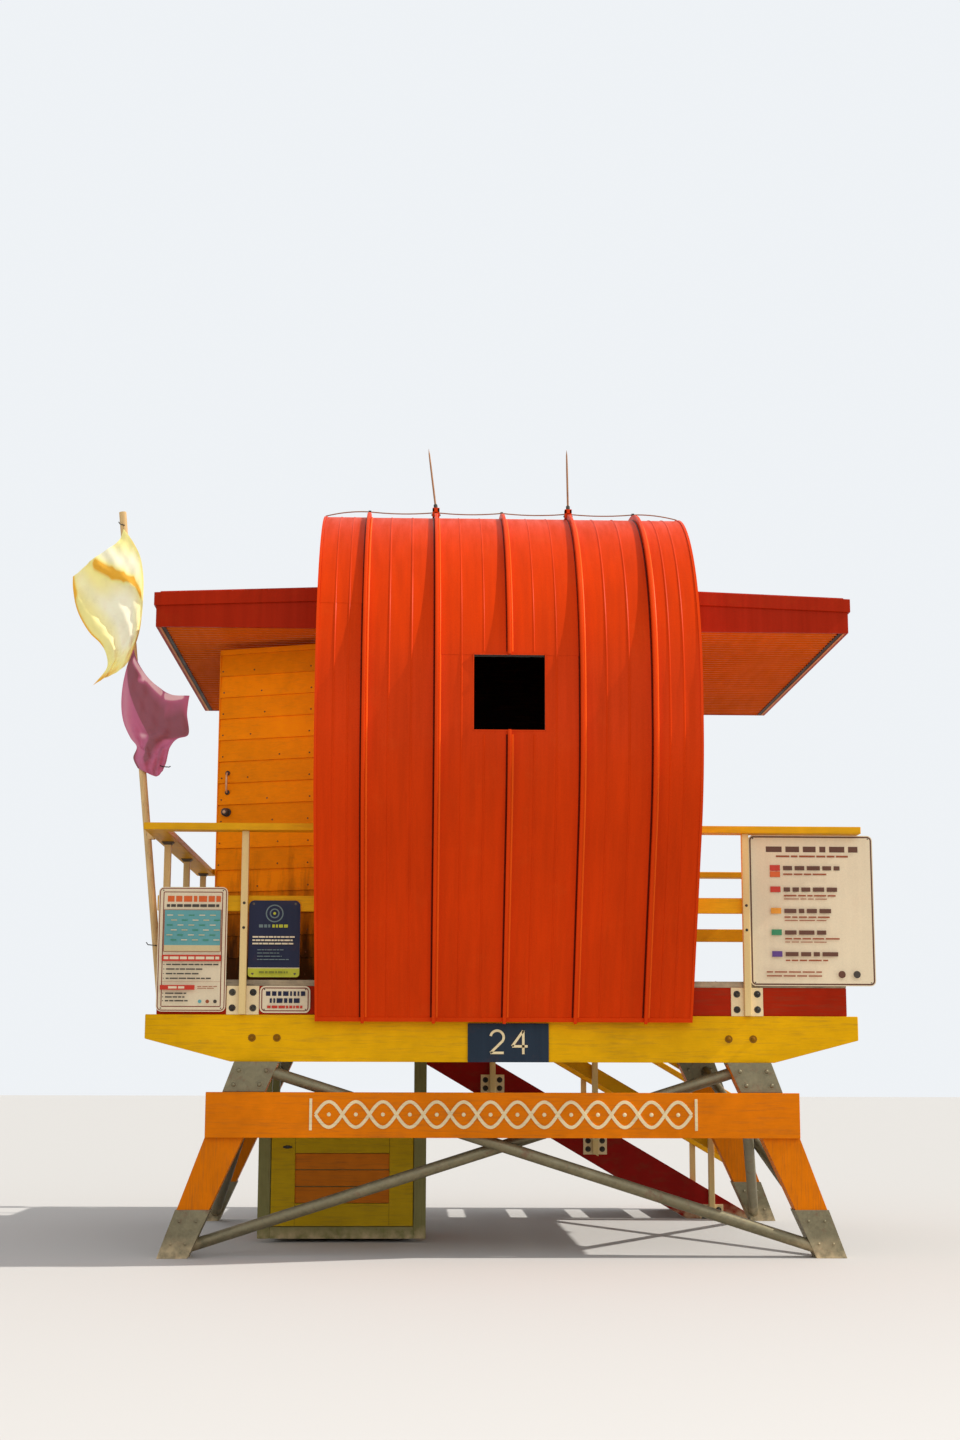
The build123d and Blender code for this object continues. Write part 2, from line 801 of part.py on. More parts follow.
with BuildPart() as railing_plates:
    for run, places in post_runs:
        with Locations(run.location):
            for x in places:
                plate(x)
    for y, out in stair_sides:
        plate_y = sorted((y, y + out * post_plate_thick))
        for x in stair_posts_x:
            plate_z = around(nosing_z(x) - stair_plate_drop, stair_plate_height)
            block(around(x, stair_plate_width), plate_y, plate_z)
save(railing_plates, "railing_plates")

with BuildPart() as stair_rails:
    for y, out in stair_sides:
        middle = y + out * (post_plate_thick + post_side / 2)
        for rise in (stair_rail_rise, stair_rail_rise - stair_rail_drop):
            width = stair_rail_width if rise == stair_rail_rise else mid_board_thick
            centre = middle if rise == stair_rail_rise else y + out * (post_plate_thick - width / 2)
            depth = (rail_thick if rise == stair_rail_rise else mid_board_height) / stair_cos
            with BuildSketch(upright(centre + width / 2)):
                sloped((landing_x[1] + stair_rail_start, stair_end), rise - depth, rise)
            extrude(amount=width)
save(stair_rails, "stair_rails")


# Locker under the deck

def end_posts(span):
    """The low and high values of the two posts at the ends of a span."""
    return (span[0], span[0] + locker_post), (span[1] - locker_post, span[1])


with BuildPart() as locker_posts:
    for x in end_posts(locker_x):
        for y in end_posts(locker_y):
            block(x, y, (locker_foot, deck_underside))
    for x in joist_x:
        block(around(x, joist_thick), locker_y, (beam_top, deck_underside), Mode.SUBTRACT)
save(locker_posts, "locker_posts")

body_x = (locker_x[0] + locker_post, locker_x[1] - locker_post)
with BuildPart() as locker_body:
    body_y = (locker_y[0] + locker_frame_thick, locker_y[1])
    block(body_x, body_y, (locker_foot, locker_top - locker_lid_thick))
save(locker_body, "locker_body")

with BuildPart() as locker_lid:
    block(body_x, locker_y, (locker_top - locker_lid_thick, locker_top))
save(locker_lid, "locker_lid")

with BuildPart() as locker_front:
    front_x = (body_x[0] + locker_gap, body_x[1] - locker_gap)
    front_yy = (locker_y[0], locker_y[0] + locker_frame_thick)
    front_z = (locker_base, locker_top - locker_lid_thick - locker_gap)
    block(front_x, front_yy, front_z)
    panel_x = (front_x[0] + locker_stile, front_x[1] - locker_stile)
    panel_z = (front_z[0] + locker_rail, front_z[1] - locker_rail)
    block(panel_x, front_yy, panel_z, Mode.SUBTRACT)
save(locker_front, "locker_front")

# Flagpole with its two brackets, and the flags on its land side

pole_slope = (pole_head[0] - pole_foot[0]) / (pole_head[1] - pole_foot[1])


def pole_x(z):
    """Centre of the flagpole at a height."""
    return pole_foot[0] - deck_half_x + (z - pole_foot[1]) * pole_slope


with BuildPart() as flagpole:
    pole_low = Vector(pole_x(pole_end_z), pole_y, pole_end_z)
    pole_high = Vector(pole_x(pole_head[1]), pole_y, pole_head[1])
    with BuildSketch(Plane(origin=pole_low, z_dir=pole_high - pole_low)):
        Circle(pole_radius)
    extrude(amount=(pole_high - pole_low).length)
    rail_middle = rail_top - rail_thick / 2
    for z, seat in ((pole_bracket_z, -deck_half_x), (rail_middle, -deck_half_x - rail_out)):
        block((pole_x(z), seat), around(pole_y, pole_bracket), around(z, pole_bracket))
save(flagpole, "flagpole")

flag_back_y = pole_y - pole_radius - flag_gap
for name, outline in (("yellow_flag", yellow_flag_outline), ("purple_flag", purple_flag_outline)):
    with BuildPart() as flag:
        with BuildSketch(upright(flag_back_y)):
            with BuildLine():
                Polyline(*((x - deck_half_x, z) for x, z in outline), close=True)
            make_face()
        extrude(amount=flag_thick)
    save(flag, name)

# Sign boards

with BuildPart() as sign_boards:
    board_face = -deck_half_y - board_out
    rim_face = -deck_half_y
    shell_side = -shell_width / 2
    left_post = front_post_inset[0] - deck_half_x
    post_edge = left_post + post_side / 2
    plate_edge = left_post + post_plate_width / 2
    tall_x = (tall_sign_x[0] - deck_half_x, tall_sign_x[1] - deck_half_x)
    notice_x = (post_edge + notice_sign_gap[0], shell_side - notice_sign_gap[1])
    small_x = (plate_edge + small_sign_gap[0], shell_side - small_sign_gap[1])
    right_post_edge = deck_half_x - front_post_inset[1] + post_side / 2
    flag_x = (right_post_edge + flag_sign_gap, deck_half_x + flag_sign_over)
    for x, z, back in (
        (tall_x, tall_sign_z, board_face),
        (notice_x, notice_sign_z, board_face),
        (small_x, small_sign_z, rim_face),
        (flag_x, flag_sign_z, board_face),
    ):
        block(x, (back - sign_thick, back), z)
    fillet(sign_boards.edges().filter_by(Axis.Y), radius=sign_corner)
save(sign_boards, "sign_boards")

# Lightning rods on seam clamps, and the conductor that lies over the seams

rod_x = seam_pitch
rod_y = brow_centre.X - rod_before_crest
conductor_y = brow_centre.X - conductor_before_crest
rod_radial = shell_brow_radius + seam_height + seam_seat
rod_base_z = brow_centre.Y + sqrt(rod_radial**2 - (rod_y - brow_centre.X) ** 2)
with BuildPart() as lightning_rods:
    for side in (-1, 1):
        x = side * rod_x
        clamp_z = (rod_base_z - seam_height, rod_base_z + clamp_height)
        block(around(x, clamp_width), around(rod_y, clamp_length), clamp_z)
    with BuildSketch(Plane.YZ.offset(-shell_width / 2)):
        shell_band(-seam_seat, shell_thick)
    extrude(amount=shell_width, mode=Mode.SUBTRACT)
    for side in (-1, 1):
        with BuildSketch(Plane.YZ.offset(side * rod_x - seam_thick / 2 - seam_seat)):
            shell_band(-seam_height - seam_seat, shell_thick)
        extrude(amount=seam_thick + 2 * seam_seat, mode=Mode.SUBTRACT)
    for x, tilt in ((-rod_x, rod_lean[0]), (rod_x, rod_lean[1])):
        way = Vector(-sin(radians(tilt)), 0, cos(radians(tilt)))
        with BuildSketch(Plane(origin=(x, rod_y, rod_base_z + clamp_height - rod_radius), z_dir=way)):
            Circle(rod_radius)
        extrude(amount=rod_length)
    reach = shell_brow_radius + seam_height + conductor_radius + seam_seat
    conductor_z = brow_centre.Y + sqrt(reach**2 - (conductor_y - brow_centre.X) ** 2)
    with BuildSketch(Plane.YZ.offset(-shell_width / 2)):
        with Locations((conductor_y, conductor_z)):
            Circle(conductor_radius)
    extrude(amount=shell_width)
save(lightning_rods, "lightning_rods")
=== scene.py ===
import itertools
import math
import random

import bpy
from mathutils import Matrix, Vector


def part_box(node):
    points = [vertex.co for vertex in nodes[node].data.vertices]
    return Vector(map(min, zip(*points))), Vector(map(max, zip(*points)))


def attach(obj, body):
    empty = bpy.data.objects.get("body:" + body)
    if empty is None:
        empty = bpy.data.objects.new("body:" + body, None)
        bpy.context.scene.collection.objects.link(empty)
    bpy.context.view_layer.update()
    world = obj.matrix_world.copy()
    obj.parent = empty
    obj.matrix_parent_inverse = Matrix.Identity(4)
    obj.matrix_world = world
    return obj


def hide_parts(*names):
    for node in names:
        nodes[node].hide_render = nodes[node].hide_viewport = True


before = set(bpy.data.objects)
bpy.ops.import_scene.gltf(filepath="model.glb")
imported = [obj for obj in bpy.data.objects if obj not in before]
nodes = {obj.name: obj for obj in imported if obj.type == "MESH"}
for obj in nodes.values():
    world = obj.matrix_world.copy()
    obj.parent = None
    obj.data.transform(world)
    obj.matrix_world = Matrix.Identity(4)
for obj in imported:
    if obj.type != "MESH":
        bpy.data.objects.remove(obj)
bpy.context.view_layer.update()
chance = random.Random(24)

# Sizes, in metres, in the frame's own axes: +X right from the land, +Y to the ocean, +Z up

DECK_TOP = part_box("decking")[1].z
WALL_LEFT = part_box("left_wall_back")[0].x
WALL_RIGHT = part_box("right_wall")[1].x
WALL_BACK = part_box("ocean_wall")[1].y
SHELL_LEFT, SHELL_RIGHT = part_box("shell")[0].x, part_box("shell")[1].x

# The shell's line in the plane of Y and Z, as the frame has it
SHELL_BASE = Vector((-1.640, 1.486))
SHELL_LEAN = math.radians(25.4)
LEAN_LENGTH = 1.308
KNEE_RADIUS = 1.600
UPRIGHT = 0.216
SHELL_UPRIGHT_TOP = 3.570
BROW_RADIUS = 1.400
CROWN_RADIUS = 6.500
EAVE_Y = 1.650
SHELL_THICK = 0.060
SEAM_PITCH = 0.457
SEAM_COUNT = 5
SEAMS = [SEAM_PITCH * (n - (SEAM_COUNT - 1) / 2) for n in range(SEAM_COUNT)]
EDGE_TRIM = 0.016
LAP_START = 2.78            # how far up the shell the left panel's lap begins
WINDOW_HALF = 0.225
WINDOW_Z = (3.275, 3.757)

BOARD_SHOW = 0.149          # height of clapboard left to the weather
BOARD_BUTT = 0.014          # how far a clapboard's lower edge stands out
BOARD_TOP = 0.004
LEAST_BOARD = 0.004         # no lower strip of clapboard is made
BOARD_SUNK = 0.004          # how far a clapboard reaches into the wall behind it
CASING_WIDTH = 0.070
CASING_THICK = 0.017
WALL_START = -2.34          # a side wall's end at the land, inside the shell
LOOKOUT_TRIM = 0.075

DOORWAY_Y = (-1.325, -0.514)
DOORWAY_HEAD = 4.044
DOOR_OPEN = math.radians(69)
HINGE_LINE = Vector((-1.190, -1.325, 0))
LEAF_START, LEAF_WIDTH = 0.008, 0.795
LEAF_FACE = -0.010          # weather face of the leaf, measured out from the hinge line
DOOR_STILE = 0.060
JAMB_GAP = 0.013
NAIL_RISE = 0.035           # a nail's height over its board's lower edge
KNOB_ACROSS = 0.726
BOW_REACH = 0.066           # half the length of the bow handle

MID_BOARD_FOOT = 2.195
RAIL_UNDER = 2.717
ROD_LENGTH = 0.440
CLAMP_HALF = 0.024
SOFFIT_PITCH = 0.076
SOFFIT_DEEP = 0.010
TOP_RIB_PITCH = 0.3

PLANK_WIDTH = 0.140
PLANK_GAP = 0.006
PLANK_THICK = 0.042
LANDING_RIM = 0.038
SIDE_BOARD = 0.14           # height of a board on the locker's sides

SIGN_CORNER = 0.034         # radius of a sign's corners
SIGN_LAYER = 0.0004         # how far each printed layer stands before the last

CAMERA_PLACE = Vector((-0.600, -14.675, 1.228))
CAMERA_TURNS = (9.71, 1.93, 0.15)
SUN_WAY = Vector((0.74, -0.06, 0.67))
FILL_PLACE = Vector((2, -13, 6))
FILL_AIM = Vector((0, 0, 2.4))


# Heads of bolts, screws and nails, by radius, and where they sit
HEAD_BOLT, HEAD_BOLT_RISES = 0.014, (0.045, 0.135)
SHOE_BOLT, SHOE_BOLT_RISES = 0.009, (0.09, 0.23)
BEAM_BOLT, BEAM_NUT, BEAM_BOLT_RISE = 0.0145, 0.012, 0.152
BEAM_BOLT_X = (-1.465, -1.625, 1.465, 1.625)
PLATE_BOLT, PLATE_BOLT_INSET = 0.013, (0.038, 0.042)
POST_SCREW = 0.0055
HINGE_SCREW = 0.0035
DOOR_NAIL = 0.0034
SIGN_SCREW, SIGN_SCREW_INSET = 0.0045, (0.03, 0.022)


# Colours

def rgb(red, green, blue):
    """A colour given as on a paint card, 0 to 255, in linear light."""
    return tuple((c / 255 / 12.92 if c < 10 else ((c / 255 + 0.055) / 1.055) ** 2.4)
                 for c in (red, green, blue)) + (1.0,)


SHELL_ORANGE = rgb(211, 58, 4)
WALL_AMBER = rgb(250, 140, 2)
FASCIA_RED = rgb(166, 36, 5)
SOFFIT_RUST = rgb(214, 102, 14)
BEAM_YELLOW = rgb(228, 170, 4)
RAIL_YELLOW = rgb(224, 164, 24)
LEG_ORANGE = rgb(222, 119, 4)
RIM_RED = rgb(166, 36, 6)
STAIR_MAROON = rgb(150, 26, 20)
POST_CREAM = rgb(228, 200, 140)
LETTER_CREAM = rgb(232, 214, 170)
SLATE = rgb(44, 56, 70)
LOCKER_YELLOW = rgb(196, 160, 22)
LOCKER_GREY = rgb(136, 132, 84)
PRIMER = rgb(186, 152, 84)
OLD_WOOD = rgb(136, 116, 92)
ZINC = rgb(126, 118, 92)
RUST = rgb(112, 58, 28)
SAND = rgb(214, 190, 150)
DARK_FOOT = rgb(44, 26, 12)
WHITE = (1.0, 1.0, 1.0, 1.0)

ALONG_X, ALONG_Y, ALONG_Z = (1, 16, 16), (16, 1, 16), (16, 16, 1)
PAINT_GLOSS = 0.05          # specular level of sun-dulled paint
WORN_EDGE = 0.006           # how far wear reaches from an edge
FLAG_THREADS = 700.0


# Shader nodes

SOCKETS = {1: "NodeSocketFloat", 3: "NodeSocketVector", 4: "NodeSocketColor"}


class Net:
    """A tree of shader nodes, and short ways to add to it."""

    def __init__(self, tree):
        self.tree = tree

    def fill(self, made, inputs):
        """Sets a node's inputs, each to a value or by a link from another node's output."""
        for label, value in inputs.items():
            if isinstance(value, bpy.types.NodeSocket):
                self.tree.links.new(value, made.inputs[label])
            else:
                made.inputs[label].default_value = value

    def node(self, kind, inputs=None, **settings):
        """Adds a shader node with its settings and inputs."""
        made = self.tree.nodes.new("ShaderNode" + kind)
        for key, value in settings.items():
            setattr(made, key, value)
        self.fill(made, inputs or {})
        return made

    def give(self, **results):
        """Makes the outputs of a node group and links its results to them."""
        for label in results:
            kind = SOCKETS[4 if label == "Color" else 1]
            self.tree.interface.new_socket(label, in_out="OUTPUT", socket_type=kind)
        out = self.tree.nodes.new("NodeGroupOutput")
        for label, socket in results.items():
            self.tree.links.new(socket, out.inputs[label])

    def mask(self, name, **inputs):
        """The mask from one of the node groups below."""
        return self.node("Group", inputs, node_tree=bpy.data.node_groups[name]).outputs["Mask"]

    def spot(self, scale=(1, 1, 1)):
        """The place on the object, in metres, stretched by a scale."""
        place = self.node("TexCoord").outputs["Object"]
        return self.node("Mapping", {"Vector": place, "Scale": scale}).outputs[0]

    def height(self):
        """The height above the object's origin."""
        return self.node("SeparateXYZ", {0: self.spot()}).outputs["Z"]

    def tone(self):
        """The tone stored with each point of a piece."""
        return self.node("Attribute", attribute_name="tone").outputs["Fac"]

    def noise(self, vector, scale, detail=4.0, rough=0.55):
        """A noise value, about 0.3 to 0.7."""
        inputs = {"Vector": vector, "Scale": scale, "Detail": detail, "Roughness": rough}
        return self.node("TexNoise", inputs).outputs["Fac"]

    def fit(self, value, low, high, to_low=0.0, to_high=1.0):
        """Maps a value from one range to another, and keeps it there."""
        inputs = {"Value": value, "From Min": low, "From Max": high, "To Min": to_low, "To Max": to_high}
        return self.node("MapRange", inputs).outputs["Result"]

    def fit_noise(self, vector, scale, detail, rough, *ranges):
        """A noise value, mapped from one range to another."""
        return self.fit(self.noise(vector, scale, detail, rough), *ranges)

    def math(self, kind, first, second):
        """One step of arithmetic."""
        return self.node("Math", {0: first, 1: second}, operation=kind).outputs[0]

    def plus(self, first, second):
        """The sum of two numbers."""
        return self.math("ADD", first, second)

    def times(self, first, second):
        """The product of two numbers."""
        return self.math("MULTIPLY", first, second)

    def scaled(self, vector, factor):
        """A colour or vector times a number or another vector."""
        return self.node("VectorMath", {0: vector, 1: factor}, operation="MULTIPLY").outputs[0]

    def mix(self, share, first, second):
        """A mix of two colours."""
        inputs = {"Factor": share, "A": first, "B": second}
        return self.node("Mix", inputs, data_type="RGBA").outputs["Result"]


def effect(name, **inputs):
    """Starts a node group, and returns its net and its inputs. An input starts as a number, a
    colour of four values or a vector of three."""
    tree = bpy.data.node_groups.new(name, "ShaderNodeTree")
    for label, value in inputs.items():
        kind = SOCKETS[len(value) if isinstance(value, tuple) else 1]
        tree.interface.new_socket(label, in_out="INPUT", socket_type=kind).default_value = value
    return Net(tree), tree.nodes.new("NodeGroupInput").outputs


def make_edge_mask():
    """Where a board or plate has an outer edge, which wears first."""
    net = effect("edge_mask")[0]
    rounded = net.node("Bevel", {"Radius": WORN_EDGE}, samples=4).outputs[0]
    flat = net.node("NewGeometry").outputs["Normal"]
    along = net.node("VectorMath", {0: rounded, 1: flat}, operation="DOT_PRODUCT")
    net.give(Mask=net.fit(along.outputs["Value"], 0.99, 0.85))


def make_ground_dust():
    """Sand and dust on the lowest stretch, thinner with height."""
    net, given = effect("ground_dust", Height=0.35)
    low = net.fit(net.math("DIVIDE", net.height(), given["Height"]), 1.0, 0.0)
    net.give(Mask=net.times(low, net.fit_noise(net.spot(), 16.0, 6.0, 0.55, 0.35, 0.65)))


def make_darker_above_deck():
    """A wall darker above the deck: darkest at its foot, in runs, and gone at its top."""
    net, given = effect("deck_grime", Foot=1.8, Top=2.4)
    runs = net.fit_noise(net.spot((9.0, 9.0, 1.2)), 1.6, 6.0, 0.65, 0.3, 0.7, -0.22, 0.22)
    net.give(Mask=net.fit(net.plus(net.height(), runs), given["Top"], given["Foot"]))


def make_old_paint():
    """Brushed paint on timber: fading, grain that shows through, chips and worn edges."""
    net, given = effect("old_paint", Paint=WHITE, Undercoat=PRIMER, Wear=0.3, Grain=(1, 1, 1), Dirt=0.3)
    place = net.spot()
    along = net.scaled(place, given["Grain"])
    grain = net.noise(along, 9.0, 6.0, 0.65)
    ragged = net.noise(along, 34.0, 7.0, 0.7)
    fade = net.fit_noise(place, 1.1, 3.0, 0.55, 0.3, 0.7, 0.86, 1.10)
    light = net.plus(fade, net.times(net.tone(), 0.09))
    light = net.times(light, net.fit_noise(place, 11.0, 5.0, 0.55, 0.3, 0.7, 0.93, 1.05))
    light = net.times(light, net.fit(grain, 0.35, 0.7, 1.03, 0.94))
    reach = net.plus(net.times(net.mask("edge_mask"), 0.16), net.times(given["Wear"], 0.10))
    chip = net.fit(net.plus(ragged, reach), 0.755, 0.785)
    bare = net.mix(net.fit(ragged, 0.45, 0.62), given["Undercoat"], OLD_WOOD)
    color = net.mix(chip, net.scaled(given["Paint"], light), bare)
    dirt = net.times(net.fit_noise(along, 4.0, 7.0, 0.7, 0.5, 0.72), given["Dirt"])
    net.give(Color=net.mix(dirt, color, rgb(96, 74, 48)),
             Roughness=net.plus(0.46, net.times(chip, 0.3)),
             Height=net.math("SUBTRACT", net.times(grain, 0.5), chip))


def make_sheet_paint():
    """Factory paint on sheet metal: fading, run marks, a soft wave and fine specks."""
    net, given = effect("sheet_paint", Paint=WHITE, Streaks=0.5)
    place = net.spot()
    runs = net.noise(net.spot((14.0, 2.0, 0.7)), 1.6, 6.0, 0.6)
    specks = net.noise(place, 120.0, 3.0, 0.7)
    wave = net.noise(net.spot((1.0, 1.0, 0.5)), 3.0, 2.0)
    fade = net.fit_noise(place, 0.8, 3.0, 0.55, 0.3, 0.7, 0.90, 1.08)
    light = net.times(fade, net.fit(specks, 0.3, 0.7, 0.95, 1.05))
    light = net.plus(light, net.times(net.fit(runs, 0.35, 0.68, 0.04, -0.16), given["Streaks"]))
    chalk = net.times(net.fit_noise(place, 5.0, 8.0, 0.7, 0.55, 0.75), 0.05)
    net.give(Color=net.mix(chalk, net.scaled(given["Paint"], light), rgb(226, 120, 50)),
             Roughness=net.fit(runs, 0.3, 0.7, 0.34, 0.50),
             Height=net.plus(net.times(wave, 3.0), net.times(specks, 0.12)))


def make_old_zinc():
    """Hot-dip galvanising after years by the sea: grey cells, white bloom and rust."""
    net, given = effect("old_zinc", Metal=ZINC, Rust=0.4)
    place = net.spot()
    cells = net.node("TexVoronoi", {"Vector": place, "Scale": 55.0}).outputs["Color"]
    grey = net.node("SeparateColor", {0: cells}).outputs[0]
    color = net.scaled(given["Metal"], net.fit(grey, 0.0, 1.0, 0.86, 1.12))
    bloom = net.times(net.fit_noise(place, 7.0, 7.0, 0.7, 0.52, 0.70), 0.30)
    color = net.mix(bloom, color, rgb(170, 160, 130))
    patches = net.plus(net.noise(place, 13.0, 8.0, 0.72), net.times(net.mask("edge_mask"), 0.07))
    rust = net.times(net.fit(patches, 0.56, 0.68), given["Rust"])
    net.give(Color=net.mix(rust, color, RUST), Metallic=net.fit(rust, 0.0, 0.6, 0.55, 0.0),
             Roughness=net.plus(net.fit(grey, 0.0, 1.0, 0.46, 0.60), net.times(rust, 0.2)),
             Height=net.plus(rust, net.times(grey, 0.15)))


def make_bare_timber():
    """Silvered softwood: grain lines, cracks, blown sand and a tone for each board."""
    net, given = effect("bare_timber", Wood=OLD_WOOD, Grain=(1, 20, 20), Sand=0.3)
    place = net.spot()
    along = net.scaled(place, given["Grain"])
    lines = net.noise(along, 5.0, 9.0, 0.7)
    light = net.plus(net.fit(lines, 0.3, 0.7, 0.72, 1.18), net.times(net.tone(), 0.16))
    light = net.times(light, net.fit_noise(along, 1.4, 4.0, 0.55, 0.3, 0.7, 0.88, 1.10))
    crack = net.fit_noise(along, 11.0, 3.0, 0.6, 0.66, 0.70)
    color = net.mix(crack, net.scaled(given["Wood"], light), rgb(58, 46, 36))
    dust = net.times(net.fit_noise(place, 3.0, 8.0, 0.7, 0.48, 0.66), given["Sand"])
    net.give(Color=net.mix(dust, color, SAND), Roughness=net.fit(lines, 0.3, 0.7, 0.88, 0.72),
             Height=net.math("SUBTRACT", lines, crack))


def make_weave():
    """Plain-woven flag cloth: threads both ways, from the piece's own flat map, with painted light and
    painted shade from each point's tone.
    """
    net, given = effect("weave", Cloth=WHITE, Shade=WHITE, Light=WHITE)
    flat = net.node("TexCoord").outputs["UV"]
    threads = []
    for turn in (0.0, math.pi / 2):
        turned = net.node("Mapping", {"Vector": flat, "Rotation": (0, 0, turn)}).outputs[0]
        threads.append(net.node("TexWave", {"Vector": turned, "Scale": FLAG_THREADS}).outputs["Fac"])
    fade = net.fit_noise(net.spot(), 6.0, 4.0, 0.55, 0.3, 0.7, 0.92, 1.06)
    darkening = net.fit_noise(net.spot(), 18.0, 7.0, 0.7, 0.55, 0.75, 1.0, 0.90)
    tone = net.tone()
    # Painted light towards the Light colour where the tone is above zero, and painted shade towards Shade
    # where it is below
    cloth = net.mix(net.fit(tone, 0.0, 1.0), given["Cloth"], given["Light"])
    cloth = net.mix(net.fit(tone, 0.0, -1.0), cloth, given["Shade"])
    net.give(Color=net.scaled(cloth, net.times(fade, darkening)), Height=net.plus(*threads))


for make in (make_edge_mask, make_ground_dust, make_darker_above_deck, make_old_paint, make_sheet_paint,
             make_old_zinc, make_bare_timber, make_weave):
    make()


# Materials

finish_of = {}              # each material by its name, which the frame's own may have too


def material(name, group, values, bump, bump_depth=0.001, dust=0.0, darkening=None, **shine):
    """A material whose colour, roughness and relief come from one of the groups above. darkening is the
    height of its darkest place, of its top, and the share of it that darkens the paint."""
    made = finish_of[name] = bpy.data.materials.new(name)
    made.use_nodes = True
    net = Net(made.node_tree)
    look = net.node("Group", values, node_tree=bpy.data.node_groups[group]).outputs
    color = look["Color"]
    if dust:
        color = net.mix(net.mask("ground_dust", Height=dust), color, SAND)
    if darkening:
        foot, top, cover = darkening
        color = net.mix(net.times(net.mask("deck_grime", Foot=foot, Top=top), cover), color, DARK_FOOT)
    relief = net.node("Bump", {"Height": look["Height"], "Strength": bump, "Distance": bump_depth})
    surface = {label.replace("_", " "): value for label, value in shine.items()}
    surface |= {label: look[label] for label in ("Roughness", "Metallic") if label in look}
    surface |= {"Base Color": color, "Normal": relief.outputs[0]}
    net.fill(made.node_tree.nodes["Principled BSDF"], surface)


def timber_paint(name, paint, grain, wear=0.3, dirt=0.25, undercoat=PRIMER, dust=0.0, darkening=None):
    """Painted timber with its grain along an axis."""
    values = {"Paint": paint, "Undercoat": undercoat, "Wear": wear, "Grain": grain, "Dirt": dirt}
    material(name, "old_paint", values, 0.35, 0.0015, dust, darkening, Specular_IOR_Level=PAINT_GLOSS)


def metal_paint(name, paint, streaks, bump=0.2):
    """Painted sheet metal."""
    values = {"Paint": paint, "Streaks": streaks}
    material(name, "sheet_paint", values, bump, 0.002, Specular_IOR_Level=PAINT_GLOSS)


def old_metal(name, metal, rust, bump=0.3, bump_depth=0.0005, dust=0.0):
    """Bare or zinc-coated metal with some rust."""
    material(name, "old_zinc", {"Metal": metal, "Rust": rust}, bump, bump_depth, dust)


def timber(name, wood, grain, sand, bump):
    """Unpainted timber with its grain along an axis."""
    material(name, "bare_timber", {"Wood": wood, "Grain": grain, "Sand": sand}, bump)


def cloth(name, color, shade, light):
    """Thin nylon flag cloth, with a colour of painted shade for the hollow behind a fold and a colour of
    painted light for a crest.
    """
    values = {"Cloth": color, "Shade": shade, "Light": light}
    material(name, "weave", values, 0.25, 0.0004, Roughness=0.62, Sheen_Weight=0.25)


metal_paint("shell_paint", SHELL_ORANGE, 0.7, 0.25)
metal_paint("seam_paint", rgb(216, 62, 8), 0.3)
# Painted shade and painted highlight for the strips to the left and right of each seam
metal_paint("seam_dirt", rgb(96, 20, 6), 0.5)
metal_paint("seam_light", rgb(238, 92, 20), 0.3)
metal_paint("fascia_paint", FASCIA_RED, 0.8, 0.25)
metal_paint("soffit_paint", SOFFIT_RUST, 0.5)
metal_paint("soffit_edge", rgb(214, 142, 84), 0.5)
# A dark strip of painted shade under each wing's outer fascia
metal_paint("soffit_shade", rgb(44, 16, 4), 0.5)
metal_paint("post_paint", POST_CREAM, 0.6)
metal_paint("plate_paint", rgb(238, 216, 172), 0.6)
metal_paint("slate_paint", SLATE, 0.8)
# The walls and the door turn darker towards their foot above the deck
timber_paint("wall_paint", WALL_AMBER, ALONG_Y, 0.10, 0.15, darkening=(1.70, 2.45, 0.75))
timber_paint("door_paint", rgb(250, 141, 3), (3, 3, 16), 0.12, 0.15, darkening=(1.85, 2.55, 0.95))
timber_paint("back_wall_paint", WALL_AMBER, ALONG_X, 0.10, 0.15)
timber_paint("beam_paint", BEAM_YELLOW, ALONG_X, 0.35, 0.35)
timber_paint("rail_paint", RAIL_YELLOW, ALONG_X, 0.25)
timber_paint("side_rail_paint", RAIL_YELLOW, ALONG_Y, 0.25)
timber_paint("leg_paint", LEG_ORANGE, ALONG_Z, 0.55, 0.35, rgb(150, 120, 80), 0.25)
timber_paint("board_paint", LEG_ORANGE, ALONG_X, 0.40, 0.30)
timber_paint("rim_paint", RIM_RED, ALONG_X, 0.55, 0.40)
timber_paint("side_rim_paint", RIM_RED, ALONG_Y, 0.55, 0.40)
timber_paint("stringer_paint", STAIR_MAROON, (2, 16, 4), 0.30, 0.30, dust=0.12)
timber_paint("locker_paint", LOCKER_YELLOW, ALONG_X, 0.45, 0.40, dust=0.12)
timber_paint("locker_board_paint", rgb(206, 116, 26), ALONG_X, 0.40, 0.40)
timber_paint("locker_grey_paint", LOCKER_GREY, ALONG_Z, 0.45, 0.40, dust=0.12)
timber_paint("letter_paint", LETTER_CREAM, ALONG_X, 0.20, 0.30, rgb(150, 90, 30))
timber_paint("painted_bolt", rgb(138, 92, 10), ALONG_X, 0.9, 0.6, rgb(86, 54, 16))
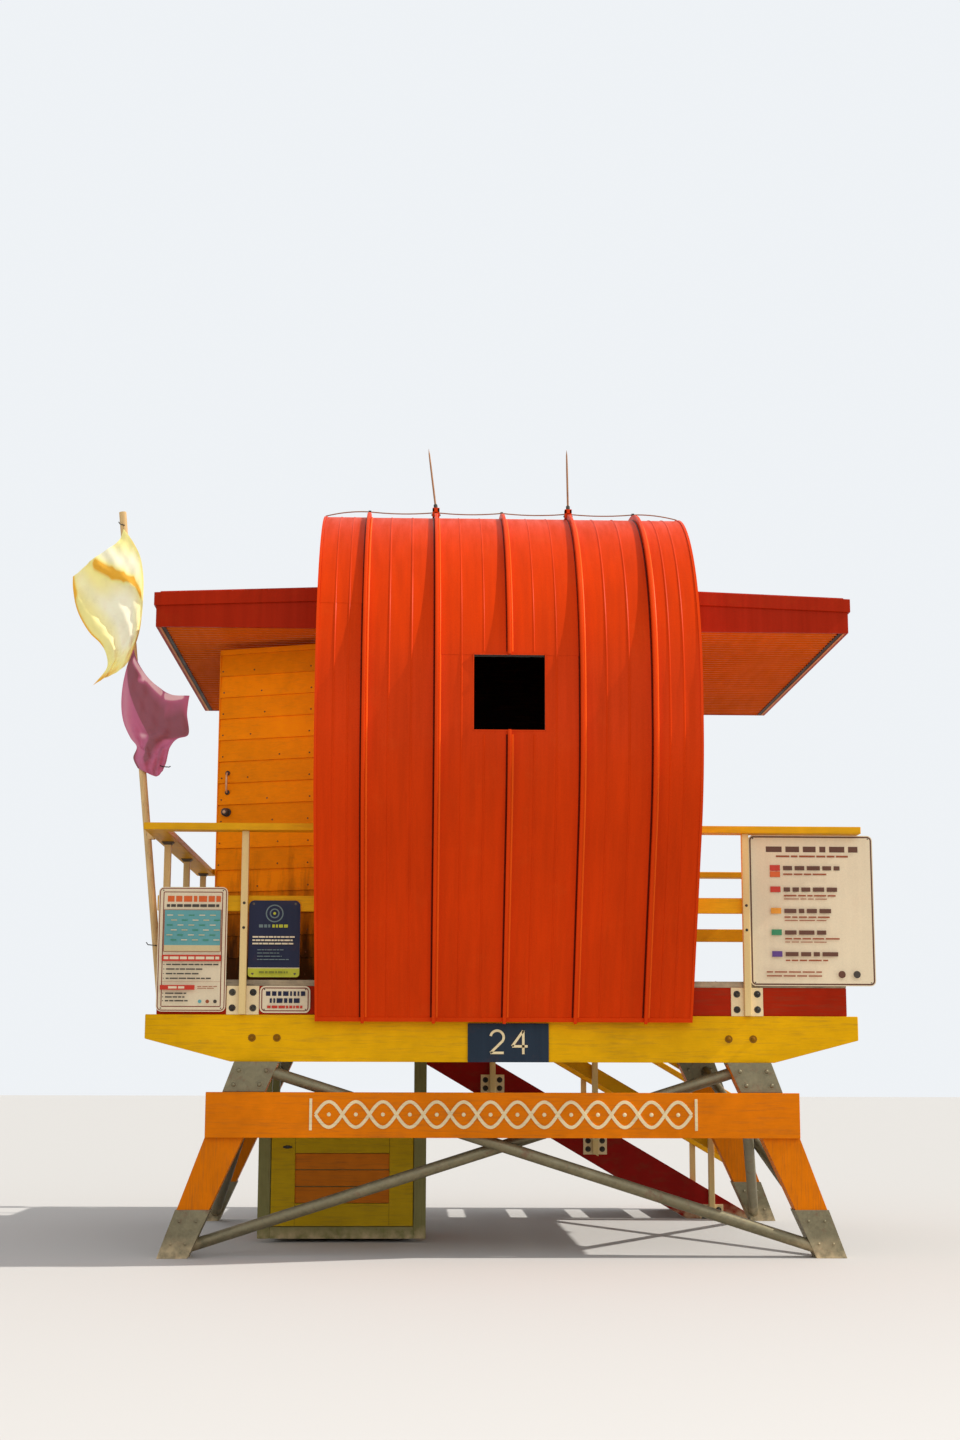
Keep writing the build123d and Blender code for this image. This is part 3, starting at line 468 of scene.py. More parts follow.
# Near-black paint: painted shade on the lining inside the hut and in the window's reveals, and the dark
# joints of the locker's frame
timber_paint("hut_lining", rgb(30, 22, 16), ALONG_X, 0.1, 0.3)
old_metal("dark_steel", ZINC, 0.5, bump_depth=0.001, dust=0.14)
old_metal("bolt_steel", rgb(96, 88, 76), 0.8)
old_metal("dark_bolt", rgb(52, 50, 46), 0.5)
old_metal("copper_rod", rgb(150, 108, 74), 0.6)
old_metal("nail_rust", rgb(104, 62, 22), 0.9)
old_metal("handle_metal", rgb(206, 164, 128), 0.3, 0.2)
timber("pole_wood", rgb(222, 186, 128), ALONG_Z, 0.1, 0.4)
timber("deck_wood", rgb(158, 142, 118), ALONG_X, 0.45, 0.5)
timber("joist_wood", rgb(142, 120, 92), ALONG_Y, 0.1, 0.5)
# Each cloth's second colour is painted shade behind a fold, and its third is painted light on a crest
cloth("yellow_cloth", rgb(255, 244, 152), rgb(246, 182, 34), rgb(255, 252, 220))
cloth("purple_cloth", rgb(192, 96, 132), rgb(142, 74, 88), rgb(240, 190, 196))

SIGN_COLORS = {
    "cream": (226, 209, 177), "ink": (66, 58, 50), "brown": (150, 72, 34), "red": (196, 52, 30),
    "teal": (96, 158, 160), "navy": (10, 16, 52), "lime": (186, 186, 48), "green": (50, 132, 88),
    "purple": (92, 60, 128), "amber": (228, 150, 40), "orange": (214, 96, 34), "sand": (206, 188, 142),
    "slate": (104, 120, 120), "olive": (120, 122, 30), "russet": (122, 44, 20), "cocoa": (96, 58, 40),
}
(CREAM, INK, BROWN, RED, TEAL, NAVY, LIME, GREEN, PURPLE, AMBER, ORANGE, SAND_INK, SLATE_INK, OLIVE,
 RUSSET, COCOA) = range(len(SIGN_COLORS))

for ink, shade in SIGN_COLORS.items():
    material("sign_" + ink, "sheet_paint", {"Paint": rgb(*shade), "Streaks": 0.25}, 0.1, 0.0005,
             Specular_IOR_Level=0.25, Coat_Weight=0.05, Coat_Roughness=0.45)


# Meshes

def enclosed(points, faces):
    """Six times the volume inside some faces, below zero if they look inward."""
    total, middle = 0.0, centre(points)
    for face in faces:
        first, *rest = (points[corner] - middle for corner in face)
        total += sum(first.dot(a.cross(b)) for a, b in zip(rest, rest[1:]))
    return total


class Shape:
    """The parts of one piece, gathered before its mesh is made. Each part has the number of its finish in
    the piece's list, and a tone that sets one board off from the next, or that paints light and shade on a
    flag."""

    def __init__(self):
        self.points, self.faces, self.finishes, self.tones, self.flat = [], [], [], [], []

    def add(self, points, faces, finish=0, tone=0.0, flat=None, solid=False):
        """Adds points and the faces between them. flat is each point's place on a flat pattern.
        tone is one value for the part, or a list with one for each point. The faces of a solid
        part are turned round where they look inward."""
        if solid and enclosed(points, faces) < 0:
            faces = [face[::-1] for face in faces]
        start = len(self.points)
        self.points += [tuple(p) for p in points]
        self.faces += [tuple(start + corner for corner in face) for face in faces]
        self.finishes += [finish] * len(faces)
        self.tones += tone if isinstance(tone, list) else [tone] * len(points)
        self.flat += flat or [(0.0, 0.0)] * len(points)

    def block(self, low, high, finish=0, tone=0.0, place=Matrix()):
        """Adds a box between two opposite corners, then put in place by a matrix."""
        corners = [place @ Vector(corner) for corner in itertools.product(*zip(low, high))]
        sides = ((0, 1, 3, 2), (4, 6, 7, 5), (0, 4, 5, 1), (2, 3, 7, 6), (0, 2, 6, 4), (1, 5, 7, 3))
        self.add(corners, sides, finish, tone, solid=True)

    def swept(self, stations, finish=0, closed=True, tone=0.0, flat=None):
        """Adds a skin over stations, each the same number of points. A closed one has points all
        round a section, and is capped at its ends."""
        count, ends = len(stations[0]), len(stations) - 1
        sides = [(n, (n + 1) % count) for n in range(count if closed else count - 1)]
        faces = [(i + n, i + m, i + count + m, i + count + n)
                 for i in range(0, ends * count, count) for n, m in sides]
        if closed:
            faces += [tuple(range(count))[::-1], tuple(range(ends * count, ends * count + count))]
        self.add([p for station in stations for p in station], faces, finish, tone, flat, closed)

    def runs(self, stations, finish=0, tone=0.0):
        """Adds a skin over each run of stations between the ones that are None."""
        for given, run in itertools.groupby(stations, key=bool):
            run = list(run)
            if given and len(run) > 1:
                self.swept(run, finish, tone=tone)

    def turned(self, profile, place, sides=12, finish=0):
        """Adds a turned form from (radius, height) pairs, about the third axis of its place."""
        self.swept([[place @ Vector((x, y, height)) for x, y in around(sides, radius)]
                    for radius, height in profile], finish)

    def bent(self, points, radii, sides, up, finish=0, place=Matrix()):
        """Adds a round rod through points, with its radius at each."""
        points, run = [Vector(p) for p in points], []
        for n, (here, radius) in enumerate(zip(points, radii)):
            way = points[min(n + 1, len(points) - 1)] - points[max(n - 1, 0)]
            ring = place @ facing(here, way, up)
            run.append([ring @ Vector((x, y, 0)) for x, y in around(sides, radius)])
        self.swept(run, finish)


def around(count, radius):
    """Places round a circle."""
    turns = (math.tau * n / count for n in range(count))
    return [(radius * math.cos(turn), radius * math.sin(turn)) for turn in turns]


def facing(point, outward, up=(0, 0, 1)):
    """A place at a point, with its third axis outward."""
    third = Vector(outward).normalized()
    first = Vector(up).cross(third)
    first = first.normalized() if first.length > 1e-6 else Vector((1, 0, 0))
    second = third.cross(first)
    turn = Matrix((first, second, third)).transposed()
    return Matrix.Translation(point) @ turn.to_4x4()


def add_object(name, data):
    """Puts an object in the scene."""
    made = bpy.data.objects.new(name, data)
    bpy.context.scene.collection.objects.link(made)
    return made


def piece(name, shape, finishes, stands_for=None, body="tower", bevel=0.0, smooth=35):
    """Makes the object of a shape and lets it ride on a body. finishes names its materials."""
    mesh = bpy.data.meshes.new(name)
    mesh.from_pydata(shape.points, [], shape.faces)
    for finish in finishes.split():
        mesh.materials.append(finish_of[finish])
    mesh.polygons.foreach_set("material_index", shape.finishes)
    mesh.attributes.new("tone", "FLOAT", "POINT").data.foreach_set("value", shape.tones)
    if any(u or v for u, v in shape.flat):
        pattern = mesh.uv_layers.new(name="flat_pattern")
        for loop in mesh.loops:
            pattern.data[loop.index].uv = shape.flat[loop.vertex_index]
    mesh.validate()
    mesh.shade_smooth()
    mesh.set_sharp_from_angle(angle=math.radians(smooth))
    made = add_object(name, mesh)
    if bevel:
        soften(made, bevel)
    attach(made, body)
    if stands_for:
        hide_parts(stands_for)
    return made


def soften(made, width):
    """Rounds the sharp edges of a piece a little, so that they catch the light."""
    weld = made.modifiers.new("weld", "WELD")
    weld.merge_threshold = 0.00001
    edge = made.modifiers.new("soft_edges", "BEVEL")
    edge.width = width
    edge.segments = 2
    edge.limit_method = "ANGLE"
    edge.angle_limit = math.radians(40)


def solids(name):
    """The points of each separate solid of a CAD node."""
    mesh = nodes[name].data
    keys, group = {}, []
    for vertex in mesh.vertices:
        key = tuple(round(c, 5) for c in vertex.co)
        group.append(keys.setdefault(key, len(keys)))
    parent = list(range(len(keys)))

    def root(n):
        while parent[n] != n:
            parent[n] = parent[parent[n]]
            n = parent[n]
        return n

    for edge in mesh.edges:
        parent[root(group[edge.vertices[0]])] = root(group[edge.vertices[1]])
    found = {}
    for key, n in keys.items():
        found.setdefault(root(n), []).append(Vector(key))
    return sorted(found.values(), key=lambda points: tuple(round(c, 3) for c in extent(points)[0]))


def extent(points):
    """Lowest and highest corner of some points."""
    return tuple(Vector(pick(p[n] for p in points) for n in range(3)) for pick in (min, max))


def centre(points):
    """The mean of some points."""
    return sum(points, Vector()) / len(points)


def frame_bars(low, high, outer, inner=0.0):
    """Four bars round a rectangle, each as its lowest and highest corner: two over the full
    height and two between them. They reach outward and inward from the rectangle's edge."""
    (x0, z0), (x1, z1) = low, high
    return (((x0 - outer, z0 - outer), (x0 + inner, z1 + outer)),
            ((x1 - inner, z0 - outer), (x1 + outer, z1 + outer)),
            ((x0, z0 - outer), (x1, z0 + inner)), ((x0, z1 - inner), (x1, z1 + outer)))


def plank(shape, low, high, worn):
    """Adds a board whose top is worn down by a chance share, in a tone of its own."""
    shape.block(low, (high[0], high[1], high[2] - chance.uniform(0, worn)), 0, chance.uniform(-1, 1))


# The shell's line

def shell_line(depth, step=0.06):
    """Places and outward directions along the shell, from base to eave, at a depth inside its face."""
    lean_way = Vector((-math.sin(SHELL_LEAN), math.cos(SHELL_LEAN)))
    out = Vector((-math.cos(SHELL_LEAN), -math.sin(SHELL_LEAN)))
    knee_start = SHELL_BASE + lean_way * LEAN_LENGTH
    knee = knee_start - out * KNEE_RADIUS
    brow = Vector((knee.x - KNEE_RADIUS + BROW_RADIUS, knee.y + UPRIGHT))
    crown = brow + Vector((0, BROW_RADIUS - CROWN_RADIUS))
    line = []

    def straight(start, end, way):
        count = max(1, round((end - start).length / step))
        line.extend((start.lerp(end, n / count), way) for n in range(count))

    def bend(centre, radius, start, end):
        count = max(2, round(radius * abs(end - start) / step))
        for n in range(count):
            angle = start + (end - start) * n / count
            way = Vector((math.cos(angle), math.sin(angle)))
            line.append((centre + way * radius, way))

    straight(SHELL_BASE, knee_start, out)
    bend(knee, KNEE_RADIUS, math.pi + SHELL_LEAN, math.pi)
    straight(knee - Vector((KNEE_RADIUS, 0)), brow - Vector((BROW_RADIUS, 0)), Vector((-1, 0)))
    bend(brow, BROW_RADIUS, math.pi, math.pi / 2)
    eave_angle = math.acos((EAVE_Y - crown.x) / CROWN_RADIUS)
    bend(crown, CROWN_RADIUS, math.pi / 2, eave_angle)
    way = Vector((math.cos(eave_angle), math.sin(eave_angle)))
    line.append((crown + way * CROWN_RADIUS, way))
    return [(p - way * depth, way) for p, way in line]


def crossings(depth, y):
    """Heights at which the shell's line at a depth passes over a place, from low to high."""
    line = [p for p, way in shell_line(depth)]
    found = []
    for a, b in zip(line, line[1:]):
        if (a.x - y) * (b.x - y) <= 0 and abs(a.x - b.x) > 1e-9:
            found.append(a.y + (b.y - a.y) * (y - a.x) / (b.x - a.x))
    return sorted(found)


def hut_span(y):
    """Lowest and highest point of a side wall at a place, inside the shell."""
    found = crossings(SHELL_THICK - 0.02, y)
    if not found:
        return None
    high = found[-1]
    low = max(DECK_TOP, found[0]) if len(found) > 1 and high - found[0] > 0.3 else DECK_TOP
    return (low, high) if high > low else None


def row_under(z):
    """The foot of the row of clapboard that a height lies in."""
    return DECK_TOP + max(0, math.ceil((z - DECK_TOP) / BOARD_SHOW) - 1) * BOARD_SHOW


def clapboards(shape, start, end, span, place, low, high, step=0.05):
    """Adds rows of clapboard on a plane whose axes are along the wall, out of it and up. span
    gives the wall's lowest and highest point at a place along it."""
    count = max(2, round((end - start) / step))
    places = [start + (end - start) * n / count for n in range(count + 1)]
    for row in range(math.ceil((high - low) / BOARD_SHOW)):
        foot = low + row * BOARD_SHOW
        tone = chance.uniform(-1, 1)
        boards = []
        for at in places:
            limits = span(at) or (0, 0)
            bottom, head = max(foot, limits[0]), min(high, foot + BOARD_SHOW, limits[1])
            butt, lap = (BOARD_BUTT + (BOARD_TOP - BOARD_BUTT) * (z - foot) / BOARD_SHOW
                         for z in (bottom, head))
            section = ((-BOARD_SUNK, bottom), (butt, bottom), (lap, head), (-BOARD_SUNK, head))
            boards.append([place @ Vector((at, *corner)) for corner in section]
                          if head - bottom > LEAST_BOARD else None)
        shape.runs(boards, tone=tone)


# Bolts

DOME = ((1.75, 0), (1.75, 0.18), (1.0, 0.2), (0.96, 0.55), (0.7, 0.85), (0.25, 0.98), (0.0001, 1.0))


def bolt(shape, point, outward, radius, finish=0):
    """Adds a round-headed bolt on a washer."""
    shape.turned([(r * radius, h * radius) for r, h in DOME], facing(point, outward), 12, finish)


def nut(shape, point, outward, radius, finish=0):
    """Adds a six-sided nut on a washer, with the bolt's end standing out of it."""
    place = facing(point, outward)
    shape.turned(((radius * 1.9, 0), (radius * 1.9, radius * 0.25)), place, 14, finish)
    shape.turned(((radius * 1.35, radius * 0.25), (radius * 1.35, radius * 1.1)), place, 6, finish)
    shape.turned(((radius * 0.62, radius * 1.1), (radius * 0.62, radius * 1.5)), place, 8, finish)


def corners_in(low, high, inset):
    """Four places near the corners of a rectangle."""
    return [(a, b) for a in (low[0] + inset[0], high[0] - inset[0])
            for b in (low[1] + inset[1], high[1] - inset[1])]


def edge_at(points, z, high):
    """How far a raked solid reaches along X at a height, to its low or high side."""
    bottom, top = extent(points)
    pick = max if high else min
    foot = pick(p.x for p in points if p.z < bottom.z + 0.02)
    head = pick(p.x for p in points if p.z > top.z - 0.02)
    return foot + (head - foot) * (z - bottom.z) / (top.z - bottom.z)


def raked_bolts(shape, name, rises, radius, inset=0.055):
    """Adds bolts through both faces of each shoe or head plate, at heights above its foot."""
    for points in solids(name):
        low, high = extent(points)
        for rise in rises:
            z = low.z + rise
            left, right = edge_at(points, z, False) + inset, edge_at(points, z, True) - inset
            for x in (left, right):
                bolt(shape, (x, low.y, z), (0, -1, 0), radius)
                nut(shape, (x, high.y, z), (0, 1, 0), radius * 0.7)


def build_bolts():
    """All the bolts of the frame and the railings."""
    plates, through, small = Shape(), Shape(), Shape()
    raked_bolts(plates, "head_plates", HEAD_BOLT_RISES, HEAD_BOLT)
    raked_bolts(plates, "foot_shoes", SHOE_BOLT_RISES, SHOE_BOLT)
    piece("frame_bolts", plates, "dark_steel")
    for low, high in map(extent, solids("beams")):
        for x in BEAM_BOLT_X:
            bolt(through, (x, low.y, low.z + BEAM_BOLT_RISE), (0, -1, 0), BEAM_BOLT)
            nut(through, (x, high.y, low.z + BEAM_BOLT_RISE), (0, 1, 0), BEAM_NUT)
    piece("beam_bolts", through, "painted_bolt")
    deck_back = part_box("decking")[1].y
    for low, high in map(extent, solids("railing_plates")):
        middle = (low + high) / 2
        along, thick = (0, 1) if high.x - low.x > high.y - low.y else (1, 0)
        out = Vector()
        out[thick] = math.copysign(1, middle[thick])
        if thick == 1 and 0.05 < middle.y - deck_back < 0.25:
            out.y = -1
        for a, z in corners_in((low[along], low.z), (high[along], high.z), PLATE_BOLT_INSET):
            point = Vector((a, a, z))
            point[thick] = (high if out[thick] > 0 else low)[thick]
            bolt(small, point, out, PLATE_BOLT)
    piece("railing_bolts", small, "dark_bolt")


def build_rail_fittings():
    """Screws through the posts into the mid boards, and a flange under the rail on each side post."""
    low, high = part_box("decking")
    screws, flanges = Shape(), Shape()
    for post_low, post_high in map(extent, solids("railing_posts")):
        middle, size = (post_low + post_high) / 2, post_high - post_low
        beside = not low.x <= middle.x <= high.x
        axis = 0 if beside else 1
        out = Vector()
        out[axis] = math.copysign(1, middle[axis])
        for z in (MID_BOARD_FOOT + 0.05, MID_BOARD_FOOT - 0.11):
            face = Vector((middle.x, middle.y, z)) + out * size[axis] / 2
            bolt(screws, face, out, POST_SCREW)
        if beside:
            place = facing((middle.x, middle.y, RAIL_UNDER), (0, 0, -1))
            place = place @ Matrix.Rotation(math.pi / 4, 4, "Z")
            flanges.turned(((0.056, 0), (0.056, 0.006), (0.050, 0.010), (0.036, 0.022)), place, 4)
    piece("post_screws", screws, "dark_bolt")
    piece("rail_flanges", flanges, "bolt_steel", bevel=0.002)


# Shell

def off_shell(x, place, out):
    """The point at x across the shell, so far out of a place on its line."""
    point, way = place
    return Vector((x, point.x + way.x * out, point.y + way.y * out))


def rib(shape, x, half_width, height, finish=0, split=False):
    """Adds a rounded rib along the shell at x across it, left out over the window if split."""
    section = ((-1.0, -0.3), (-0.55, 0.35), (-0.2, 0.95), (0.2, 0.95), (0.55, 0.35), (1.0, -0.3))
    shape.runs([None if split and beside_window(place[0]) else
                [off_shell(x + a * half_width, place, b * height) for a, b in section]
                for place in shell_line(0, 0.035)], finish)


def beside_window(point):
    """Whether a place on the shell's line is as high as the window."""
    return point.x <= -1.5 and WINDOW_Z[0] - 0.02 < point.y < WINDOW_Z[1] + 0.02


def shell_strip(shape, x, out, start, end, inner=0.0, finish=0):
    """Adds a band of sheet on the shell, between two places across it and two distances along it,
    and between two heights over its face."""
    line = shell_line(0, 0.03)
    places, travelled, before = [], 0.0, line[0][0]
    for point, way in line:
        step = (point - before).length
        if travelled < start < travelled + step:
            places.append((before.lerp(point, (start - travelled) / step), way))
        travelled += step
        if start <= travelled <= end:
            places.append((point, way))
        before = point
    section = ((x[0], inner), (x[0], out), (x[1], out), (x[1], inner))
    shape.swept([[off_shell(at, place, height) for at, height in section] for place in places], finish)


def build_shell():
    """Ribs, laps, edge trims, seam feet and the window's frame on the curved shell. Each seam has a strip of
    painted shade on its left and a strip of painted highlight on its right, and the window's reveals are
    dark with painted shade.
    """
    ribs = Shape()
    panels = [SHELL_LEFT + 0.02, *SEAMS, SHELL_RIGHT - 0.02]
    for left, right in zip(panels, panels[1:]):
        for share in (0.34, 0.65):
            x = left + (right - left) * share
            rib(ribs, x, 0.009, 0.004, split=abs(x) < WINDOW_HALF + 0.03)
    for seam in SEAMS:
        split = abs(seam) < WINDOW_HALF
        # Strips beside each seam: painted shade on the left, where its shadow falls, and painted highlight
        # on the right
        rib(ribs, seam - 0.0165, 0.007, 0.003, 2, split)
        rib(ribs, seam + 0.019, 0.010, 0.004, 3, split)
    line = [point for point, way in shell_line(0)]
    length = sum((b - a).length for a, b in zip(line, line[1:]))
    for x in (SHELL_LEFT, SHELL_RIGHT - EDGE_TRIM):
        shell_strip(ribs, (x, x + EDGE_TRIM), 0.006, 0, length, -0.04, 1)
    shell_strip(ribs, (SHELL_LEFT, SHELL_RIGHT), 0.005, 0, 0.03, 0, 1)
    over_window = LEAN_LENGTH + KNEE_RADIUS * SHELL_LEAN + UPRIGHT
    over_window += BROW_RADIUS * math.asin((WINDOW_Z[1] - SHELL_UPRIGHT_TOP) / BROW_RADIUS)
    for left, right, start in ((panels[0], panels[1], LAP_START), (panels[2], panels[4], over_window)):
        shell_strip(ribs, (left, right), 0.0012, start, length)
    piece("shell_ribs", ribs, "shell_paint seam_paint seam_dirt seam_light", smooth=50)

    trim = Shape()
    front = min(p.x for p, way in shell_line(0))
    # The outer layer is the trim's paint; the inner layer lines the hole's thickness with painted shade
    layers = ((front - 0.0015, front + 0.005), (front + 0.005, front + SHELL_THICK + 0.01))
    corners = [(side * WINDOW_HALF, z) for side, z in zip((-1, 1), WINDOW_Z)]
    for low, high in frame_bars(*corners, 0.004, 0.002):
        for finish, (y0, y1) in enumerate(layers):
            trim.block((low[0], y0, low[1]), (high[0], y1, high[1]), finish)
    piece("window_frame", trim, "seam_paint hut_lining")


def build_painted_shade_lining():
    """Dark boards inside the hut, under the shell above the window and over the lookout: painted shade, so
    that the hut looks dark inside through the window and the lookout.
    """
    shade_boards = Shape()
    left, right = WALL_LEFT + 0.105, WALL_RIGHT - 0.105
    wall_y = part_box("ocean_wall")[0].y
    section = ((left, 0), (right, 0), (right, -0.012), (left, -0.012))
    shade_boards.swept([[off_shell(x, place, out) for x, out in section]
                  for place in shell_line(SHELL_THICK + 0.001, 0.05)
                  if place[0].y > WINDOW_Z[1] + 0.04 and place[0].x < wall_y])
    over = max(p.z for p in solids("ocean_wall")[0] if abs(p.x) < right - 0.1 and p.z < 4)
    head = crossings(SHELL_THICK, wall_y)[-1] - 0.02
    shade_boards.block((left, wall_y - 0.010, over + 0.03), (right, wall_y - 0.0005, head))
    piece("hut_lining", shade_boards, "hut_lining")


def build_rods():
    """Tapered rods on seam clamps, and the thin wire that runs over the seams."""
    rods = Shape()
    for points in solids("lightning_rods"):
        low, high = extent(points)
        middle = (low + high) / 2
        if high.x - low.x > 1:
            wire = middle
            continue
        tip = centre([p for p in points if p.z > high.z - 0.004])
        x = math.copysign(SEAM_PITCH, tip.x)
        lean = (tip.x - x) / ROD_LENGTH
        way = Vector((lean, 0, math.sqrt(1 - lean * lean)))
        foot = tip - way * ROD_LENGTH
        foot.x = x
        place = facing(foot, way, (0, 1, 0))
        rods.turned(((0.0070, 0), (0.0066, 0.30), (0.0052, 0.40), (0.0006, ROD_LENGTH)), place, 10)
        rods.turned(((0.0120, 0.004), (0.0135, 0.010), (0.0135, 0.034), (0.0090, 0.040)), place, 12, 1)
        near, far, top = middle.y - 0.026, middle.y + 0.026, foot.z + 0.008
        for side in (-1, 1):
            jaw = x + side * CLAMP_HALF
            rods.block((x + side * 0.0113, near, low.z + 0.004), (jaw, far, top - 0.004), 2)
            nut(rods, (jaw, middle.y, top - 0.045), (side, 0, 0), 0.0055, 1)
        rods.block((x - CLAMP_HALF, near, top - 0.029), (x + CLAMP_HALF, far, top), 2)
    ends = [(x, wire.z - 0.034) for x in (SHELL_LEFT, SHELL_RIGHT)]
    stops = [ends[0], *((x, wire.z) for x in SEAMS), ends[1]]
    run, parts = [], 10
    for (x0, z0), (x1, z1) in zip(stops, stops[1:]):
        for n in range(parts + (x1 == SHELL_RIGHT)):
            share = n / parts
            sag = 0.048 * share * (1 - share)
            x, z = x0 + (x1 - x0) * share, z0 + (z1 - z0) * share - (sag if z0 == z1 else -sag)
            run.append([Vector((x, wire.y + a, z + b)) for a, b in around(8, 0.0042)])
    rods.swept(run)
    for x in SEAMS:
        rods.block((x - 0.009, wire.y - 0.014, wire.z - 0.007),
                   (x + 0.009, wire.y + 0.014, wire.z + 0.006), 1)
    piece("rods_and_wire", rods, "copper_rod dark_bolt seam_paint", "lightning_rods",
          bevel=0.001)


# Boarded walls

def side_wall(shape, face, side, doorway=None):
    """Adds the clapboards of a side wall, split round a doorway (y, y, top)."""
    place = Matrix(((0, side, 0, face), (1, 0, 0, 0), (0, 0, 1, 0), (0, 0, 0, 1)))
    crest = max(p.y for p, way in shell_line(SHELL_THICK))
    near, far, head = doorway or (WALL_BACK, WALL_BACK, 0)
    clapboards(shape, WALL_START, near, hut_span, place, DECK_TOP, crest)
    if doorway:
        clapboards(shape, near, far, lambda y: (head, hut_span(y)[1]), place, row_under(head), crest)
        clapboards(shape, far, WALL_BACK, hut_span, place, DECK_TOP, crest)


def build_walls():
    """Clapboards, casings and corner boards of the hut."""
    left, right, back = Shape(), Shape(), Shape()
    jamb, far = DOORWAY_Y[0] - JAMB_GAP, DOORWAY_Y[1] + CASING_WIDTH
    near, head = jamb - CASING_WIDTH, DOORWAY_HEAD + 0.03
    side_wall(left, WALL_LEFT, -1, (near, far, head))
    for y, z in (((near, jamb), (DECK_TOP, head)), ((DOORWAY_Y[1], far), (DECK_TOP, head)),
                 ((near, far), (DOORWAY_HEAD, head + 0.004))):
        left.block((WALL_LEFT - CASING_THICK, y[0], z[0]), (WALL_LEFT + 0.002, y[1], z[1]))
    piece("left_siding", left, "wall_paint")
    side_wall(right, WALL_RIGHT, 1)
    piece("right_siding", right, "wall_paint")

    low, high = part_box("ocean_wall")
    hole_low, hole_high = extent([p for p in solids("ocean_wall")[0] if abs(p.x) < high.x - 0.01])
    under, over = hole_low.z - LOOKOUT_TRIM, hole_high.z + LOOKOUT_TRIM
    start, end = hole_low.x - LOOKOUT_TRIM, hole_high.x + LOOKOUT_TRIM
    for x0, x1, foot, head in ((low.x, start, DECK_TOP, high.z), (start, end, DECK_TOP, under),
                               (start, end, over, high.z), (end, high.x, DECK_TOP, high.z)):
        clapboards(back, x0, x1, lambda x: (foot, head), Matrix.Translation((0, WALL_BACK, 0)),
                   row_under(foot), high.z, 0.4)
    for (x0, z0), (x1, z1) in frame_bars(hole_low.xz, hole_high.xz, LOOKOUT_TRIM):
        back.block((x0, WALL_BACK - 0.002, z0), (x1, WALL_BACK + 0.020, z1))
    back.block((start - 0.02, WALL_BACK - 0.09, hole_low.z - 0.004),
               (end + 0.02, WALL_BACK + 0.05, hole_low.z + 0.03))
    for x0, x1 in ((WALL_LEFT, low.x + 0.002), (high.x - 0.002, WALL_RIGHT)):
        back.block((x0, WALL_BACK - 0.02, DECK_TOP), (x1, WALL_BACK + 0.016, high.z - 0.08))
    piece("back_siding", back, "back_wall_paint")


def door_place():
    """The leaf's own place: along from the hinge line, out of the weather face, and up."""
    swing = math.pi / 2 + DOOR_OPEN
    along = Vector((math.cos(swing), math.sin(swing), 0))
    out = Vector((0, 0, 1)).cross(along)
    return Matrix.Translation(HINGE_LINE) @ Matrix((along, out, (0, 0, 1))).transposed().to_4x4()


def build_door():
    """Clapboards, edge strips and nails on the leaf's weather face, and battens inside."""
    place = door_place()
    low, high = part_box("door_leaf")
    start, end = LEAF_START, LEAF_START + LEAF_WIDTH
    first = DECK_TOP - 0.139
    leaf, nails = Shape(), Shape()
    clapboards(leaf, start + DOOR_STILE, end - 0.007, lambda x: (low.z + 0.002, high.z - 0.03),
               place @ Matrix.Translation((0, LEAF_FACE, 0)), first, high.z - 0.03, 0.8)
    head, back, front = high.z - 0.036, LEAF_FACE - 0.001, LEAF_FACE + 0.014
    for x, y, z, tone in (((end - 0.008, end), front, (low.z, high.z), 0.6),
                          ((start, end - 0.008), front, (head, high.z), 0.3),
                          ((start + 0.05, start + DOOR_STILE), front - 0.002, (low.z, head), 0.2)):
        leaf.block((x[0], back, z[0]), (x[1], y, z[1]), 0, tone, place)
    for z in (low.z + 0.15, (low.z + high.z) / 2, high.z - 0.25):
        leaf.block((start + 0.06, -0.059, z), (end - 0.06, -0.053, z + 0.1), 0, 0, place)
    piece("door_boards", leaf, "door_paint", body="door", bevel=0.0015)

    outward = place.to_3x3() @ Vector((0, 1, 0))
    stand = LEAF_FACE + BOARD_BUTT - (BOARD_BUTT - BOARD_TOP) * NAIL_RISE / BOARD_SHOW
    for row in range(1, math.ceil((high.z - first) / BOARD_SHOW)):
        z = first + row * BOARD_SHOW + NAIL_RISE
        for across in (end - 0.030, start + DOOR_STILE + 0.05, chance.uniform(0.25, 0.60)):
            across += chance.uniform(-0.008, 0.008)
            if z < high.z - 0.05:
                bolt(nails, place @ Vector((across, stand, z)), outward, DOOR_NAIL)
    piece("door_nails", nails, "nail_rust", body="door")


def add_hinge(metal, place, foot, head):
    """Adds a hinge of five knuckles, with a leaf and its screws on the door."""
    outward, tall = place.to_3x3() @ Vector((0, 1, 0)), (head - foot) / 5
    barrel = ((0.0085, 0), (0.0096, 0.001), (0.0096, tall - 0.0012), (0.0085, tall - 0.0002))
    for n in range(5):
        metal.turned(barrel, place @ Matrix.Translation((0, 0, foot + n * tall)), 16)
    face = LEAF_FACE + 0.003
    metal.block((0.002, LEAF_FACE, foot), (0.056, face, head), place=place)
    for across in (0.024, 0.044):
        for rise in (-0.035, 0.035):
            middle = place @ Vector((across, face, (foot + head) / 2 + rise))
            bolt(metal, middle, outward, HINGE_SCREW, 2)


